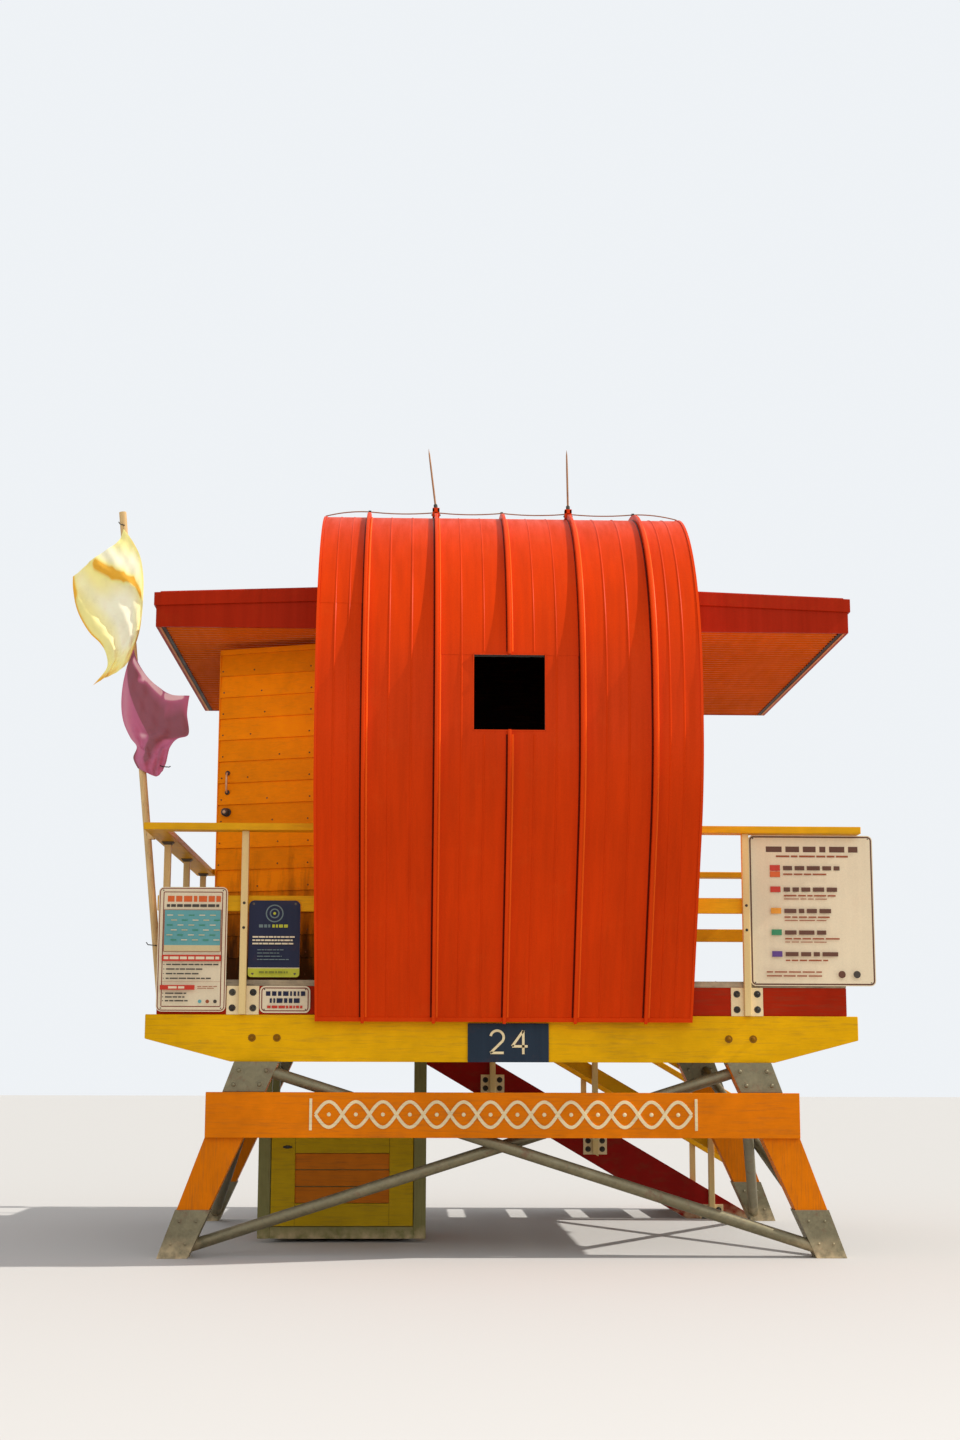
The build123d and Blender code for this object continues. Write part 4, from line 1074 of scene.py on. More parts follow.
def add_bow_handle(metal, place, face, z):
    """Adds a bow handle that is thinnest at its two ends, each on a round plate."""
    outward, turns = place.to_3x3() @ Vector((0, 1, 0)), [math.pi * n / 20 for n in range(21)]
    bow = [(KNOB_ACROSS - 0.010 * math.sin(turn), face + 0.034 * math.sin(turn) ** 0.7,
            z - BOW_REACH * math.cos(turn)) for turn in turns]
    radii = [0.0075 - 0.0015 * abs(n - 10) / 10 for n in range(21)]
    metal.bent(bow, radii, 10, (1, 0, 0), 1, place)
    for rise in (-BOW_REACH, BOW_REACH):
        foot = place @ Vector((KNOB_ACROSS, face - 0.006, z + rise))
        metal.turned(((0.017, 0), (0.017, 0.007), (0.012, 0.011)), facing(foot, outward), 14, 2)


def build_door_hardware():
    """Hinges, a bow handle on its plates and a knob, in place of the plain ones."""
    place = door_place()
    outward = place.to_3x3() @ Vector((0, 1, 0))
    face = LEAF_FACE + BOARD_BUTT
    metal = Shape()
    for low, high in map(extent, solids("door_hardware")):
        middle = place.inverted() @ ((low + high) / 2)
        if middle.x < 0.3:
            add_hinge(metal, place, low.z, high.z)
        elif high.z - low.z > 0.1:
            add_bow_handle(metal, place, face, middle.z)
        else:
            foot = facing(place @ Vector((KNOB_ACROSS, face - 0.008, middle.z)), outward)
            metal.turned(((0.030, 0), (0.030, 0.010), (0.024, 0.013), (0.012, 0.015), (0.011, 0.020),
                          (0.020, 0.024), (0.027, 0.031), (0.027, 0.041), (0.021, 0.047),
                          (0.0125, 0.048)), foot, 20, 2)
            metal.turned(((0.0115, 0.046), (0.0115, 0.050), (0.009, 0.051)), foot, 14, 1)
    piece("door_fittings", metal, "bolt_steel handle_metal dark_bolt", "door_hardware",
          "door", smooth=50)


# Side roofs

def build_wings():
    """Ribbed soffits and tops of the side roofs, and along their outer edges a trim strip and a dark strip
    of painted shade.
    """
    for name, side in (("left_wing", -1), ("right_wing", 1)):
        low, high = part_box(name)
        inner, outer = (high.x, low.x) if side < 0 else (low.x, high.x)
        soffit, top = Shape(), Shape()
        profile = []
        for n in range(int((high.y - low.y) / SOFFIT_PITCH)):
            for share, deep in ((0, 0), (0.72, 0), (0.80, SOFFIT_DEEP), (0.92, SOFFIT_DEEP)):
                profile.append((low.y + 0.004 + (n + share) * SOFFIT_PITCH, low.z - 0.0005 - deep))
        profile.append((high.y - 0.002, low.z - 0.0005))
        soffit.swept([[Vector((x, y, z)) for y, z in profile] for x in (low.x, high.x)], closed=False)
        # Along the outer edge: a tan trim strip, then a dark strip of painted shade
        for finish, near, far, foot, head in ((1, 0, 0.014, 0.016, 0.002), (2, 0.014, 0.040, 0.0125, 0)):
            soffit.block((outer - side * near, low.y, low.z - foot),
                         (outer - side * far, high.y - 0.004, low.z + head), finish)
        piece(name + "_soffit", soffit, "soffit_paint soffit_edge soffit_shade", smooth=30)

        outer_z = min(p.z for p in solids(name)[0] if p.z > (low.z + high.z) / 2)
        section = ((-0.018, 0), (-0.010, 0.016), (0.010, 0.016), (0.018, 0))
        for n in range(int((high.y - low.y) / TOP_RIB_PITCH) + 1):
            y = min(low.y + 0.02 + n * TOP_RIB_PITCH, high.y - 0.02)
            top.swept([[Vector((x, y + a, z + b)) for a, b in section]
                       for x, z in ((inner, high.z), (outer, outer_z))])
        piece(name + "_top_ribs", top, "fascia_paint")


# Deck

def build_deck():
    """Planks in place of the deck's plain slab, with their screws."""
    low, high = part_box("decking")
    planks, screws = Shape(), Shape()
    joists = [(a.x + b.x) / 2 for a, b in map(extent, solids("deck_joists"))]
    rows = round((high.y - low.y) / (PLANK_WIDTH + PLANK_GAP))
    pitch = (high.y - low.y + PLANK_GAP) / rows
    for row in range(rows):
        near, far = low.y + row * pitch, low.y + (row + 1) * pitch - PLANK_GAP
        joint = joists[3 + (row * 5) % 6]
        for start, end in ((low.x, joint - 0.002), (joint + 0.002, high.x)):
            plank(planks, (start, near, low.z), (end, far, high.z), 0.0025)
        for x in joists:
            for y in (near + 0.03, far - 0.03):
                place = facing((x, y, high.z - 0.0005), (0, 0, 1))
                screws.turned(((0.0045, 0), (0.0045, 0.0012)), place, 6)
    piece("deck_planks", planks, "deck_wood", "decking", bevel=0.003)
    piece("deck_screws", screws, "dark_bolt")


def build_treads():
    """Two boards to a tread, in place of the plain treads, and the landing's boards and rim."""
    boards, landing = Shape(), Shape()
    for low, high in map(extent, solids("stair_treads")):
        middle = (low.x + high.x) / 2
        for start, end in ((low.x, middle - 0.003), (middle + 0.003, high.x)):
            plank(boards, (start, low.y, low.z), (end, high.y, high.z), 0.002)
    piece("tread_boards", boards, "joist_wood", "stair_treads", bevel=0.004)

    low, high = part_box("landing")
    under = high.z - PLANK_THICK
    count = round((high.x - low.x) / (PLANK_WIDTH + PLANK_GAP))
    for n in range(count):
        start, end = (low.x + (high.x - low.x) * share / count for share in (n, n + 1))
        plank(landing, (start, low.y, under), (end - PLANK_GAP, high.y, high.z), 0.002)
    rim = Vector((LANDING_RIM, LANDING_RIM))
    for (x0, y0), (x1, y1) in frame_bars(low.xy + rim, high.xy - rim, LANDING_RIM):
        landing.block((x0, y0, low.z), (x1, y1, under), 1)
    piece("landing_planks", landing, "joist_wood rim_paint", "landing", bevel=0.003)


# Ornament, numbers and signs

def ribbon(shape, path, width, back, front):
    """Adds a flat raised ribbon along a path of (x, z) places, between two depths along Y."""
    path, stations = [Vector(here) for here in path], []
    for n, here in enumerate(path):
        way = (path[min(n + 1, len(path) - 1)] - path[max(n - 1, 0)]).normalized()
        across = Vector((-way.y, way.x)) * width / 2
        a, b = here + across, here - across
        stations.append([Vector((p.x, y, p.y)) for p, y in ((a, back), (a, front), (b, front), (b, back))])
    shape.swept(stations)


def build_ornament():
    """A braid of two waves with a stud in each loop, raised on the board between the legs."""
    low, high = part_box("name_board")
    middle = (low.z + high.z) / 2 + 0.004
    start, loops, rise = -1.206, 14, 0.080
    pitch = -2 * start / loops
    back, front = low.y + 0.001, low.y - 0.007
    braid = Shape()
    for way in (-1, 1):
        path = [(start + pitch * n / 16, middle + way * rise * math.sin(math.pi * n / 16))
                for n in range(loops * 16 + 1)]
        ribbon(braid, path, 0.021, back, front + 0.001 * way)
    for n in range(loops):
        place = facing((start + pitch * (n + 0.5), back, middle), (0, -1, 0))
        braid.turned(((0.013, 0), (0.013, 0.006), (0.010, 0.008)), place, 14)
    for x in (start - 0.03, 0.03 - start):
        ribbon(braid, [(x, middle - 0.1), (x, middle + 0.1)], 0.018, back, front)
    piece("board_ornament", braid, "letter_paint", bevel=0.0012)


def build_number():
    """The plain number 24 on the plate at the middle of the beam."""
    low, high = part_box("number_plate")
    foot, tall, wide, stroke = low.z + 0.052, 0.150, 0.085, 0.016
    left, radius = (low.x + high.x) / 2 - 0.115, wide / 2
    right = left + wide + 0.055
    two = [(left + radius - radius * math.cos(turn), foot + tall - radius + radius * math.sin(turn))
           for turn in (math.radians(10 + 12 * n) for n in range(18))]
    two += [(left, foot + stroke / 2), (left + wide, foot + stroke / 2)]
    four = [(right + 0.072, foot), (right + 0.072, foot + tall), (right, foot + 0.05),
            (right + 0.1, foot + 0.05)]
    number = Shape()
    for path in (two[:-1], two[-2:], *zip(four, four[1:])):
        ribbon(number, path, stroke, low.y + 0.0005, low.y - 0.004)
    piece("plate_number", number, "letter_paint")


def rounded(low, high, radius, turns):
    """The outline of a rectangle with round corners, each drawn at some turns from its start."""
    (x0, z0), (x1, z1) = (low[0] + radius, low[1] + radius), (high[0] - radius, high[1] - radius)
    corners = ((x1, z1, 0), (x0, z1, 90), (x0, z0, 180), (x1, z0, 270))
    return [(x + radius * math.cos(math.radians(first + turn)),
             z + radius * math.sin(math.radians(first + turn)))
            for x, z, first in corners for turn in turns]


class Board:
    """A sign's face, drawn in shares of its width and height from its top left corner."""

    def __init__(self, shape, low, high, ground):
        self.shape, self.low, self.high = shape, low, high
        self.size = Vector((high.x - low.x, high.z - low.z))
        self.layer = 1
        self.field(0, 0, 1, 1, ground, SIGN_CORNER)

    def at(self, across, down):
        """The place of a share across and down."""
        return self.low.x + across * self.size.x, self.high.z - down * self.size.y

    def fill(self, outline, ink):
        """Fills an outline of (x, z) places, over all that is drawn before it."""
        self.layer += 1
        y = self.low.y - SIGN_LAYER * self.layer
        self.shape.add([(x, y, z) for x, z in outline], [tuple(range(len(outline)))], ink)

    def field(self, left, top, right, bottom, ink, corner=0.0):
        """Fills a rectangle, with round corners if a radius is given."""
        (x0, z1), (x1, z0) = self.at(left, top), self.at(right, bottom)
        radius = min(corner, (x1 - x0) / 2, (z1 - z0) / 2)
        turns = (0, 22.5, 45, 67.5, 90) if radius else (0,)
        self.fill(rounded((x0, z0), (x1, z1), radius, turns), ink)

    def border(self, inset, width, ink, ground):
        """Draws a line round the sign, inset from its edge, both in metres."""
        radius = max(0.010, SIGN_CORNER - inset)
        for depth, corner, fill in ((inset, radius, ink), (inset + width, radius - width, ground)):
            a, b = depth / self.size.x, depth / self.size.y
            self.field(a, b, 1 - a, 1 - b, fill, corner)

    def words(self, left, top, right, height, ink, fill=1.0, gap=0.012):
        """A row of short bars that stands for a line of words."""
        end = left + (right - left) * fill
        while left < end - 0.02:
            long = min(chance.uniform(0.035, 0.13), end - left)
            self.field(left, top, left + long, top + height, ink)
            left += long + gap

    def disc(self, across, down, radius, ink):
        """Fills a disc with a radius in metres."""
        x, z = self.at(across, down)
        self.fill([(x + a, z + b) for a, b in around(20, radius)], ink)


def tall_sign(face):
    """Cream board: a title, a picture of plain waves over sand, and rows of words."""
    face.border(0.006, 0.006, RUSSET, CREAM)
    face.border(0.030, 0.006, RUSSET, CREAM)
    face.words(0.13, 0.072, 0.90, 0.048, ORANGE, gap=0.022)
    face.words(0.12, 0.140, 0.88, 0.022, INK, gap=0.016)
    face.field(0.085, 0.183, 0.915, 0.522, BROWN)
    face.field(0.095, 0.187, 0.905, 0.518, TEAL)
    face.field(0.095, 0.470, 0.905, 0.518, SAND_INK)
    for row in range(6):
        down = 0.225 + row * 0.040
        for n in range(5):
            left = 0.13 + n * 0.155 + (0.06 if row % 2 else 0.0)
            face.field(left, down, left + 0.085, down + 0.007, (CREAM, SAND_INK, GREEN)[(n + row) % 3])
    face.field(0.075, 0.548, 0.925, 0.598, RED)
    face.words(0.10, 0.562, 0.90, 0.022, CREAM, gap=0.02)
    for row in range(4):
        face.field(0.10, 0.622 + row * 0.037, 0.115, 0.629 + row * 0.037, INK)
        face.words(0.14, 0.620 + row * 0.037, 0.90, 0.011, INK, chance.uniform(0.55, 1.0))
    face.field(0.075, 0.762, 0.925, 0.764, BROWN)
    face.field(0.060, 0.790, 0.560, 0.828, RED)
    face.words(0.18, 0.800, 0.45, 0.018, CREAM, gap=0.02)
    face.words(0.60, 0.798, 0.88, 0.006, BROWN)
    face.words(0.60, 0.812, 0.84, 0.006, BROWN)
    for row in range(3):
        face.field(0.10, 0.852 + row * 0.030, 0.115, 0.859 + row * 0.030, INK)
        face.words(0.14, 0.850 + row * 0.030, 0.54, 0.011, INK, chance.uniform(0.7, 1.0))
    for n, ink in enumerate((TEAL, BROWN, INK)):
        face.disc(0.64 + n * 0.11, 0.920, 0.012, ink)


def notice_sign(face):
    """Navy board: a plain sun over rows of words, with a lime foot."""
    face.field(0, 0.885, 1, 1, LIME, 0.02)
    face.field(0, 0.885, 1, 0.945, LIME)
    face.field(0, 0.877, 1, 0.885, CREAM)
    for radius, ink in ((0.058, SLATE_INK), (0.050, NAVY), (0.032, SLATE_INK), (0.024, NAVY)):
        face.disc(0.5, 0.17, radius, ink)
    face.disc(0.5, 0.17, 0.009, LIME)
    face.words(0.20, 0.315, 0.44, 0.040, SLATE_INK, gap=0.02)
    face.words(0.46, 0.315, 0.80, 0.040, LIME, gap=0.02)
    for row in range(3):
        face.words(0.08, 0.468 + row * 0.044, 0.94, 0.020, CREAM, chance.uniform(0.85, 1.0))
    for row in range(4):
        face.words(0.18, 0.642 + row * 0.042, 0.84, 0.011, SLATE_INK, chance.uniform(0.6, 1.0))
    face.words(0.22, 0.925, 0.78, 0.028, OLIVE, gap=0.016)


def small_sign(face):
    """Cream board with a russet line round it and three rows of words."""
    face.border(0.010, 0.007, RUSSET, CREAM)
    face.words(0.12, 0.20, 0.90, 0.17, NAVY, gap=0.03)
    face.words(0.20, 0.46, 0.80, 0.17, NAVY, gap=0.03)
    face.words(0.15, 0.73, 0.85, 0.10, RED, gap=0.02)


def flag_sign(face):
    """Cream board that explains the flags: a title and five rows, each with a small flag."""
    face.border(0.006, 0.010, COCOA, CREAM)
    face.words(0.14, 0.075, 0.88, 0.038, COCOA, gap=0.03)
    face.words(0.22, 0.135, 0.80, 0.012, BROWN)
    for n, ink in enumerate((RED, RED, AMBER, GREEN, PURPLE)):
        down = 0.20 + n * 0.143
        face.field(0.168, down, 0.250, down + 0.038, ink)
        if n == 0:
            face.field(0.168, down + 0.042, 0.250, down + 0.080, ORANGE)
        face.words(0.275, down + 0.006, 0.80, 0.028, COCOA, chance.uniform(0.6, 1.0), 0.02)
        face.words(0.275, down + 0.056, 0.78, 0.010, BROWN, chance.uniform(0.5, 1.0))
        if n in (1, 2, 3):
            face.words(0.275, down + 0.080, 0.74, 0.006, BROWN, chance.uniform(0.7, 1.0))
    for row in range(2):
        face.words(0.12, 0.905 + row * 0.026, 0.56, 0.009, BROWN)
    face.disc(0.72, 0.925, 0.024, COCOA)
    face.disc(0.84, 0.925, 0.024, INK)


def build_signs():
    """Four signs: round-cornered boards in place of the plain ones, their faces and screws."""
    faces, screws, panels = Shape(), Shape(), Shape()
    for low, high in map(extent, solids("sign_boards")):
        tall, ground = high.z - low.z, CREAM
        if low.x > 0:
            draw = flag_sign
        elif tall > 0.7:
            draw = tall_sign
        elif tall > 0.3:
            draw, ground = notice_sign, NAVY
        else:
            draw = small_sign
        draw(Board(faces, low, high, ground))
        outline = rounded(low.xz, high.xz, SIGN_CORNER, range(0, 91, 15))
        panels.swept([[Vector((x, y, z)) for x, z in outline] for y in (low.y, high.y)])
        for x, z in corners_in(low.xz, high.xz, SIGN_SCREW_INSET):
            bolt(screws, (x, low.y - 0.0006, z), (0, -1, 0), SIGN_SCREW)
    piece("sign_faces", faces, " ".join("sign_" + ink for ink in SIGN_COLORS))
    piece("sign_screws", screws, "bolt_steel")
    piece("sign_panels", panels, "sign_cream", "sign_boards", bevel=0.0008)


# Locker

def build_locker():
    """Boards in the front frame's panel and on the sides, a latch, a skirt and the frame's joints."""
    low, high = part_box("locker_front")
    body_low, body_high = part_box("locker_body")
    boards, skirt, latch, joints = Shape(), Shape(), Shape(), Shape()
    rim = Vector((0.05, 0, 0.05))
    hole_low, hole_high = extent([p for p in solids("locker_front")[0]
                                  if all((low + rim)[n] < p[n] < (high - rim)[n] for n in (0, 2))])
    tall = (hole_high.z - hole_low.z) / 3
    for n in range(3):
        z = hole_low.z + n * tall
        boards.block((hole_low.x, low.y + 0.012, z + 0.003),
                     (hole_high.x, low.y + 0.03, z + tall - 0.003), 0, chance.uniform(-1, 1))
    for x, inner, outer in ((body_low.x, -0.004, -0.010), (body_high.x, -0.004, 0.010)):
        for n in range(5):
            z = low.z + n * SIDE_BOARD
            boards.block((x + inner, body_low.y, z + 0.002),
                         (x + outer, body_high.y - 0.005, z + SIDE_BOARD - 0.002), 0, chance.uniform(-1, 1))
    piece("locker_boards", boards, "locker_board_paint", bevel=0.002)
    skirt.block((body_low.x, low.y + 0.004, body_low.z), (body_high.x, low.y + 0.026, low.z - 0.004))
    piece("locker_skirt", skirt, "locker_grey_paint", bevel=0.002)
    x, z = hole_low.x - 0.085, hole_high.z + 0.034
    latch.block((x, low.y - 0.005, z), (x + 0.062, low.y, z + 0.015))
    latch.block((x + 0.016, low.y - 0.011, z - 0.003), (x + 0.044, low.y - 0.005, z + 0.018))
    piece("locker_latch", latch, "dark_bolt", bevel=0.001)
    for x in (hole_low.x, hole_high.x):
        for foot, head in ((low.z, hole_low.z), (hole_high.z, high.z)):
            joints.block((x - 0.001, low.y - 0.0006, foot + 0.003), (x + 0.001, low.y + 0.002, head - 0.003))
    piece("locker_frame_joints", joints, "hut_lining")


# Flags

def smooth_line(points, share):
    """A place on a smooth line through points, at a share of its points."""
    at = share * (len(points) - 1)
    n = min(int(at), len(points) - 2)
    t = at - n
    p = [Vector(points[min(max(n + k, 0), len(points) - 1)]) for k in (-1, 0, 1, 2)]
    return 0.5 * (2 * p[1] + (p[2] - p[0]) * t + (2 * p[0] - 5 * p[1] + 4 * p[2] - p[3]) * t * t
                  + (3 * p[1] - p[0] - 3 * p[2] + p[3]) * t ** 3)


def fold_height(u, v, start, end, wide, narrow, height, ends=0.16):
    """How far one fold lifts the cloth: slowly up to its crest, then quickly down behind it. ends
    says how softly the fold ends."""
    way, here = Vector(end) - Vector(start), Vector((u, v)) - Vector(start)
    along = here.dot(way) / way.length_squared
    side = (way.x * here.y - way.y * here.x) / way.length
    past = max(0.0, -along, along - 1) * way.length
    return height * math.exp(-(side / (wide if side < 0 else narrow)) ** 2 - (past / ends) ** 2)


def flag(name, stands_for, material_name, flat, hoist, fly, top, foot, folds, tones):
    """A flag hung from the pole, between four edges of (x, z) places: hoist, fly, top and foot.
    The folds lift its cloth, and the tones are strokes of painted light and of painted shade behind folds."""
    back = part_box(stands_for)[1].y
    across, down = 72, 84
    rows, pattern, shades = [], [], []
    start, out, below, far = (Vector(c) for c in (hoist[0], fly[0], hoist[-1], fly[-1]))
    for v in (n / down for n in range(down + 1)):
        row = []
        for u in (n / across for n in range(across + 1)):
            place = smooth_line(hoist, v).lerp(smooth_line(fly, v), u)
            place += smooth_line(top, u).lerp(smooth_line(foot, u), v)
            place -= start.lerp(out, u).lerp(below.lerp(far, u), v)
            lift = sum(fold_height(u, v, *fold) for fold in folds)
            lift += 0.003 * math.sin(34 * u + 9 * v) + 0.002 * math.sin(51 * v - 14 * u)
            y = back - 0.006 - lift * min(1.0, 0.15 + 3 * u)
            row.append((place.x, min(y, back - 0.003), place.y))
            pattern.append((u * flat[0], v * flat[1]))
            shades.append(sum(fold_height(u, v, *stroke) for stroke in tones))
        rows.append(row)
    shape = Shape()
    shape.swept(rows, closed=False, tone=shades, flat=pattern)
    made = piece(name, shape, material_name, stands_for, smooth=180)


def build_flags():
    """The yellow and the purple flag, blown against each other on one pole. A fold or a tone has
    its start and end, its widths before and behind, its height, and the softness of its ends."""
    flag(
        "yellow_flag_cloth", "yellow_flag", "yellow_cloth", (0.472, 0.787),
        hoist=((-2.626, 4.879), (-2.559, 4.787), (-2.504, 4.676), (-2.478, 4.530), (-2.476, 4.385),
               (-2.482, 4.254), (-2.497, 4.135), (-2.540, 3.978)),
        fly=((-2.963, 4.531), (-2.957, 4.432), (-2.932, 4.315), (-2.892, 4.224), (-2.831, 4.132),
             (-2.758, 4.061), (-2.717, 3.990), (-2.706, 3.906), (-2.738, 3.847), (-2.802, 3.768)),
        top=((-2.626, 4.879), (-2.655, 4.795), (-2.724, 4.732), (-2.811, 4.665), (-2.892, 4.598),
             (-2.963, 4.531)),
        foot=((-2.540, 3.978), (-2.576, 3.913), (-2.631, 3.861), (-2.693, 3.831), (-2.749, 3.801),
              (-2.802, 3.768)),
        folds=(((0.03, 0.56), (0.66, 0.02), 0.22, 0.035, 0.034),
               ((0.95, 0.10), (0.80, 0.55), 0.16, 0.05, 0.014),
               ((0.5, 0.55), (0.35, 0.98), 0.22, 0.16, 0.024),
               ((0.86, 0.60), (0.70, 0.98), 0.10, 0.05, 0.016),
               ((0.20, 0.62), (0.15, 0.98), 0.12, 0.05, 0.016)),
        tones=(((0.62, 0.06), (0.46, 0.19), 0.028, 0.040, -2.6, 0.03),
               ((0.46, 0.20), (0.34, 0.28), 0.026, 0.042, -2.6, 0.02),
               ((0.34, 0.285), (0.22, 0.36), 0.020, 0.030, -2.4, 0.02),
               ((0.22, 0.36), (0.12, 0.50), 0.016, 0.024, -2.2, 0.03),
               ((0.99, 0.02), (0.96, 0.14), 0.035, 0.030, -1.6, 0.03),
               ((1.0, 0.14), (0.99, 0.56), 0.022, 0.022, -1.5, 0.04),
               ((0.80, 0.99), (1.00, 0.99), 0.05, 0.05, -1.6, 0.06),
               ((0.50, 0.96), (0.72, 0.97), 0.03, 0.03, -0.6, 0.05),
               ((0.04, 0.72), (0.22, 0.90), 0.05, 0.08, -0.55, 0.05),
               ((0.02, 0.16), (0.04, 0.60), 0.030, 0.030, -0.35, 0.05),
               ((0.45, 0.45), (0.50, 0.68), 0.26, 0.26, 1.2),
               ((0.45, 0.04), (0.16, 0.25), 0.10, 0.10, 0.9),
               ((0.85, 0.10), (0.70, 0.30), 0.08, 0.08, 0.5)),
    )
    flag(
        "purple_flag_cloth", "purple_flag", "purple_cloth", (0.378, 0.755),
        hoist=((-2.529, 4.024), (-2.569, 3.913), (-2.597, 3.770), (-2.602, 3.628), (-2.582, 3.512),
               (-2.534, 3.409), (-2.488, 3.345), (-2.509, 3.269), (-2.477, 3.198)),
        fly=((-2.138, 3.703), (-2.151, 3.580), (-2.137, 3.436), (-2.212, 3.399), (-2.261, 3.335),
             (-2.283, 3.245), (-2.306, 3.181)),
        top=((-2.529, 4.024), (-2.500, 3.940), (-2.433, 3.836), (-2.349, 3.760), (-2.259, 3.708),
             (-2.138, 3.703)),
        foot=((-2.477, 3.198), (-2.407, 3.161), (-2.344, 3.142), (-2.306, 3.181)),
        folds=(((0.03, 0.12), (0.53, 0.43), 0.20, 0.05, 0.022),
               ((0.10, 0.10), (0.16, 0.75), 0.14, 0.06, 0.012),
               ((0.66, 0.40), (0.30, 0.78), 0.14, 0.05, 0.028),
               ((0.9, 0.62), (0.25, 0.92), 0.14, 0.08, 0.024),
               ((0.90, 0.06), (0.95, 0.50), 0.08, 0.05, 0.010)),
        tones=(((0.03, 0.12), (0.54, 0.43), 0.26, 0.012, -2.0, 0.03),
               ((0.54, 0.43), (0.96, 0.30), 0.20, 0.07, -1.5, 0.05),
               ((0.66, 0.42), (0.32, 0.78), 0.10, 0.03, -1.6, 0.04),
               ((0.0, 0.82), (0.05, 0.96), 0.05, 0.03, -2.4, 0.03),
               ((0.80, 0.62), (0.60, 0.95), 0.05, 0.05, -0.5, 0.06),
               ((0.12, 0.045), (0.40, 0.030), 0.028, 0.028, 2.8, 0.03),
               ((0.45, 0.02), (0.64, 0.035), 0.020, 0.030, 3.2, 0.02),
               ((0.72, 0.05), (0.90, 0.02), 0.030, 0.024, 3.0, 0.02),
               ((0.30, 0.10), (0.36, 0.07), 0.02, 0.02, 1.5, 0.02),
               ((0.40, 0.49), (0.50, 0.455), 0.02, 0.03, 0.7, 0.03),
               ((0.10, 0.30), (0.12, 0.60), 0.10, 0.10, 0.25)),
    )


def build_pole_fittings():
    """Hooks near the pole's foot and head, and one that holds the purple flag."""
    low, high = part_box("flagpole")
    pole = solids("flagpole")[0]
    top = centre([p for p in pole if p.z > high.z - 0.01])
    bottom = centre([p for p in pole if p.z < low.z + 0.01])
    up = (top - bottom).normalized()
    metal = Shape()
    hooks = [[(-2.322, -1.122, 3.214), (-2.300, -1.130, 3.206), (-2.262, -1.130, 3.204),
              (-2.252, -1.128, 3.210)]]
    for z, long in ((1.994, 0.060), (4.905, 0.030)):
        start = bottom + up * ((z - bottom.z) / up.z) + Vector((0.010, -0.024, 0))
        hooks.append([start + Vector(step) for step in (
            (0, 0, 0), (-long * 0.55, -0.008, 0.004), (-long, -0.009, 0.006),
            (-long - 0.012, -0.008, 0.022))])
    for points in hooks:
        metal.bent(points, [0.0035] * 4, 8, (0, 1, 0.3))
    piece("pole_hooks", metal, "dark_bolt")


# Finishes of the CAD nodes

NODE_FINISHES = {
    "shell_paint": "shell",
    "seam_paint": "standing_seams",
    "fascia_paint": "wing_fascias left_wing right_wing",
    "wall_paint": "left_wall_front left_wall_back left_wall_top right_wall",
    "back_wall_paint": "ocean_wall",
    "door_paint": "door_leaf",
    "beam_paint": "beams",
    "rail_paint": "front_rails back_rails landing_rails stair_rails",
    "side_rail_paint": "side_rails",
    "leg_paint": "front_legs back_legs",
    "board_paint": "name_board",
    "rim_paint": "long_rim_boards",
    "side_rim_paint": "side_rim_boards",
    "post_paint": "railing_posts stair_posts",
    "plate_paint": "railing_plates",
    "joist_wood": "deck_joists stair_treads",
    "stringer_paint": "stair_stringers",
    "dark_steel": "front_braces side_braces head_plates foot_shoes",
    "slate_paint": "number_plate",
    "locker_paint": "locker_front",
    "locker_grey_paint": "locker_lid locker_posts locker_body",
    "bolt_steel": "door_hardware",
    "copper_rod": "lightning_rods",
    "pole_wood": "flagpole",
    "deck_wood": "decking landing",
    "sign_cream": "sign_boards",
    "sign_amber": "yellow_flag",
    "sign_purple": "purple_flag",
}
SOFT_EDGES = {
    0.006: "front_rails back_rails side_rails landing_rails stair_rails",
    0.005: "beams front_legs back_legs locker_lid locker_posts",
    0.004: "long_rim_boards side_rim_boards railing_posts stair_posts stair_stringers locker_front"
           " standing_seams",
    0.003: "wing_fascias deck_joists",
    0.002: "railing_plates door_leaf",
    0.0015: "head_plates foot_shoes",
    0.001: "sign_boards",
}


def finish_nodes():
    """Gives each CAD node its material, and soft edges where the real piece has them."""
    for finish, names in NODE_FINISHES.items():
        for name in names.split():
            made = nodes[name]
            if not made.material_slots:
                made.data.materials.append(None)
            for place in made.material_slots:
                place.material = finish_of[finish]
    for width, names in SOFT_EDGES.items():
        for name in names.split():
            soften(nodes[name], width)


# Stage

def build_floor():
    """A pale floor, a little paler to the camera than to the light."""
    mesh = bpy.data.meshes.new("floor")
    mesh.from_pydata([(-60, -60, 0), (60, -60, 0), (60, 60, 0), (-60, 60, 0)], [], [(0, 1, 2, 3)])
    pale = bpy.data.materials.new("pale_floor")
    pale.use_nodes = True
    net = Net(pale.node_tree)
    seen = net.node("LightPath").outputs["Is Camera Ray"]
    color = net.mix(seen, (0.46, 0.44, 0.40, 1), (0.55, 0.54, 0.52, 1))
    net.fill(pale.node_tree.nodes["Principled BSDF"], {"Roughness": 0.9, "Base Color": color})
    mesh.materials.append(pale)
    add_object("floor", mesh)


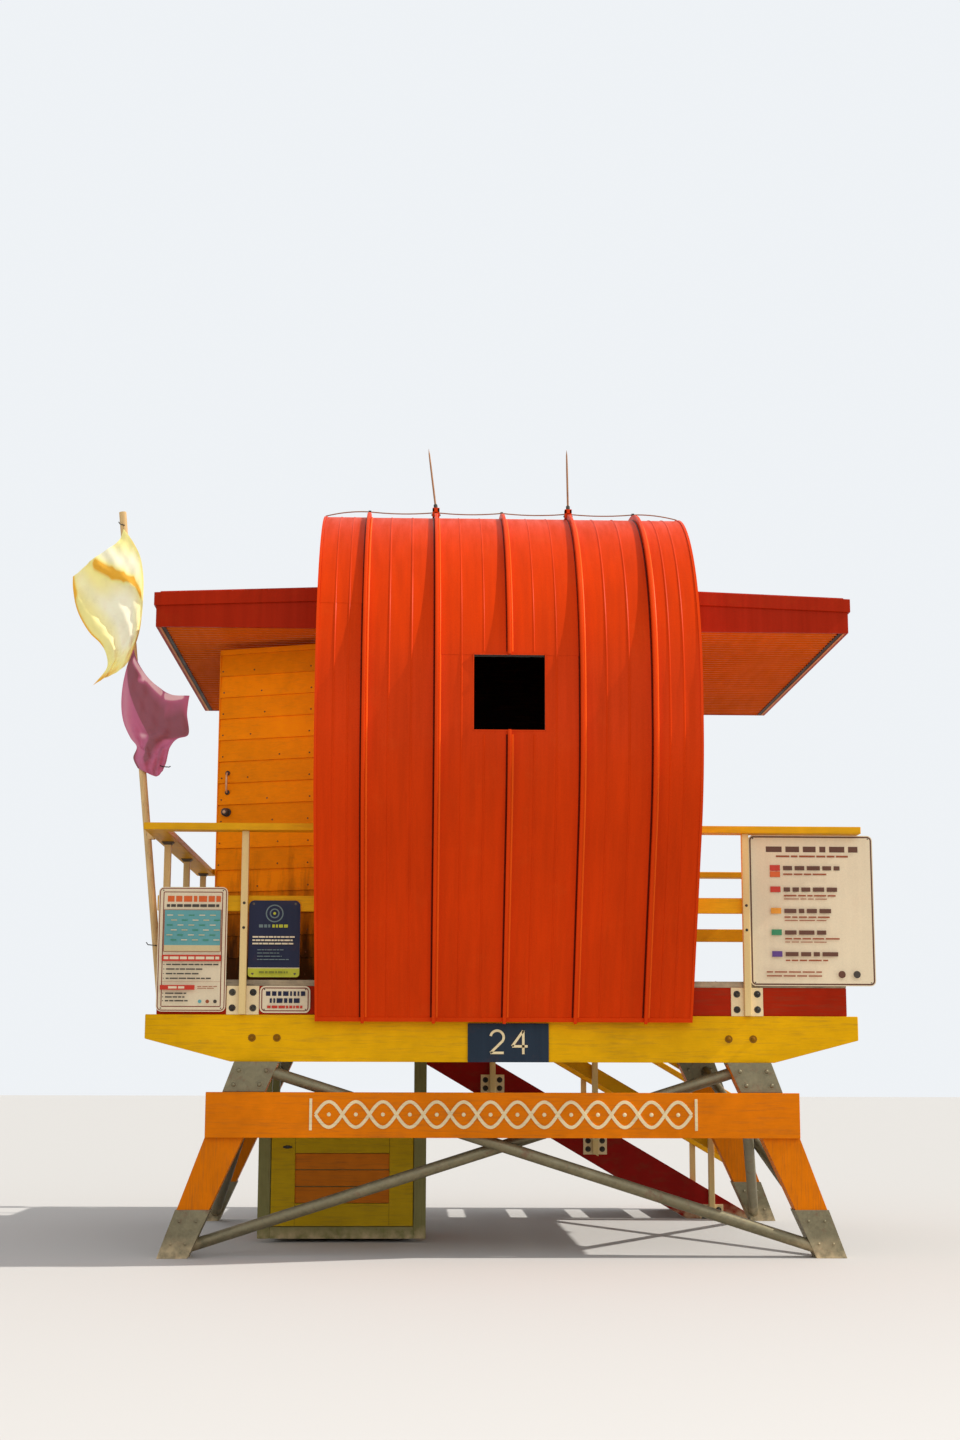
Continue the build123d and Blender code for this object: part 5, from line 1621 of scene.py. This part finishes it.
def build_light():
    """Soft light from all round, a sun from the right and a fill lamp before the tower."""
    world = bpy.data.worlds.new("studio")
    bpy.context.scene.world = world
    world.use_nodes = True
    world.node_tree.nodes.clear()
    net = Net(world.node_tree)
    rays = net.node("LightPath").outputs
    seen = net.math("MAXIMUM", rays["Is Camera Ray"], rays["Is Glossy Ray"])
    seen = net.math("MAXIMUM", seen, rays["Is Transmission Ray"])
    soft = net.node("Background", {"Color": (0.98, 0.98, 1.0, 1), "Strength": 0.68}).outputs[0]
    back = net.node("Background", {"Color": (0.86, 0.89, 0.92, 1), "Strength": 1.0}).outputs[0]
    both = net.node("MixShader", {0: seen, 1: soft, 2: back}).outputs[0]
    net.node("OutputWorld", {"Surface": both})

    sun = bpy.data.lights.new("key", "SUN")
    sun.energy = 3.7
    sun.angle = math.radians(0.8)
    sun.color = (1.0, 0.96, 0.90)
    add_object("key", sun).rotation_euler = aimed(-SUN_WAY)
    lamp = bpy.data.lights.new("fill", "AREA")
    lamp.energy = 265
    lamp.size = 8
    fill = add_object("fill", lamp)
    fill.location = FILL_PLACE
    fill.rotation_euler = aimed(FILL_AIM - FILL_PLACE)


def aimed(way):
    """The turn of a lamp that shines a way."""
    return way.to_track_quat("-Z", "Y").to_euler()


def build_camera():
    """The camera at the photograph's place, turned by its pitch, yaw and roll."""
    pitch, yaw, roll = (math.radians(turn) for turn in CAMERA_TURNS)
    ahead = Vector((math.sin(yaw) * math.cos(pitch), math.cos(yaw) * math.cos(pitch), math.sin(pitch)))
    right = Vector((math.cos(yaw), -math.sin(yaw), 0))
    upward = right.cross(ahead)
    turned_right = right * math.cos(roll) + upward * math.sin(roll)
    turned_up = upward * math.cos(roll) - right * math.sin(roll)
    lens = bpy.data.cameras.new("camera")
    lens.lens = 50
    lens.sensor_width = 36
    lens.sensor_fit = "AUTO"
    camera = add_object("camera", lens)
    turn = Matrix((turned_right, turned_up, -ahead)).transposed().to_4x4()
    camera.matrix_world = Matrix.Translation(CAMERA_PLACE) @ turn
    bpy.context.scene.camera = camera
    bpy.context.scene.view_settings.view_transform = "Standard"


finish_nodes()
build_shell()
build_walls()
build_door()
build_wings()
build_deck()
build_treads()
build_bolts()
build_rail_fittings()
build_painted_shade_lining()
build_rods()
build_door_hardware()
build_ornament()
build_number()
build_signs()
build_locker()
build_flags()
build_pole_fittings()
build_floor()
build_light()
build_camera()
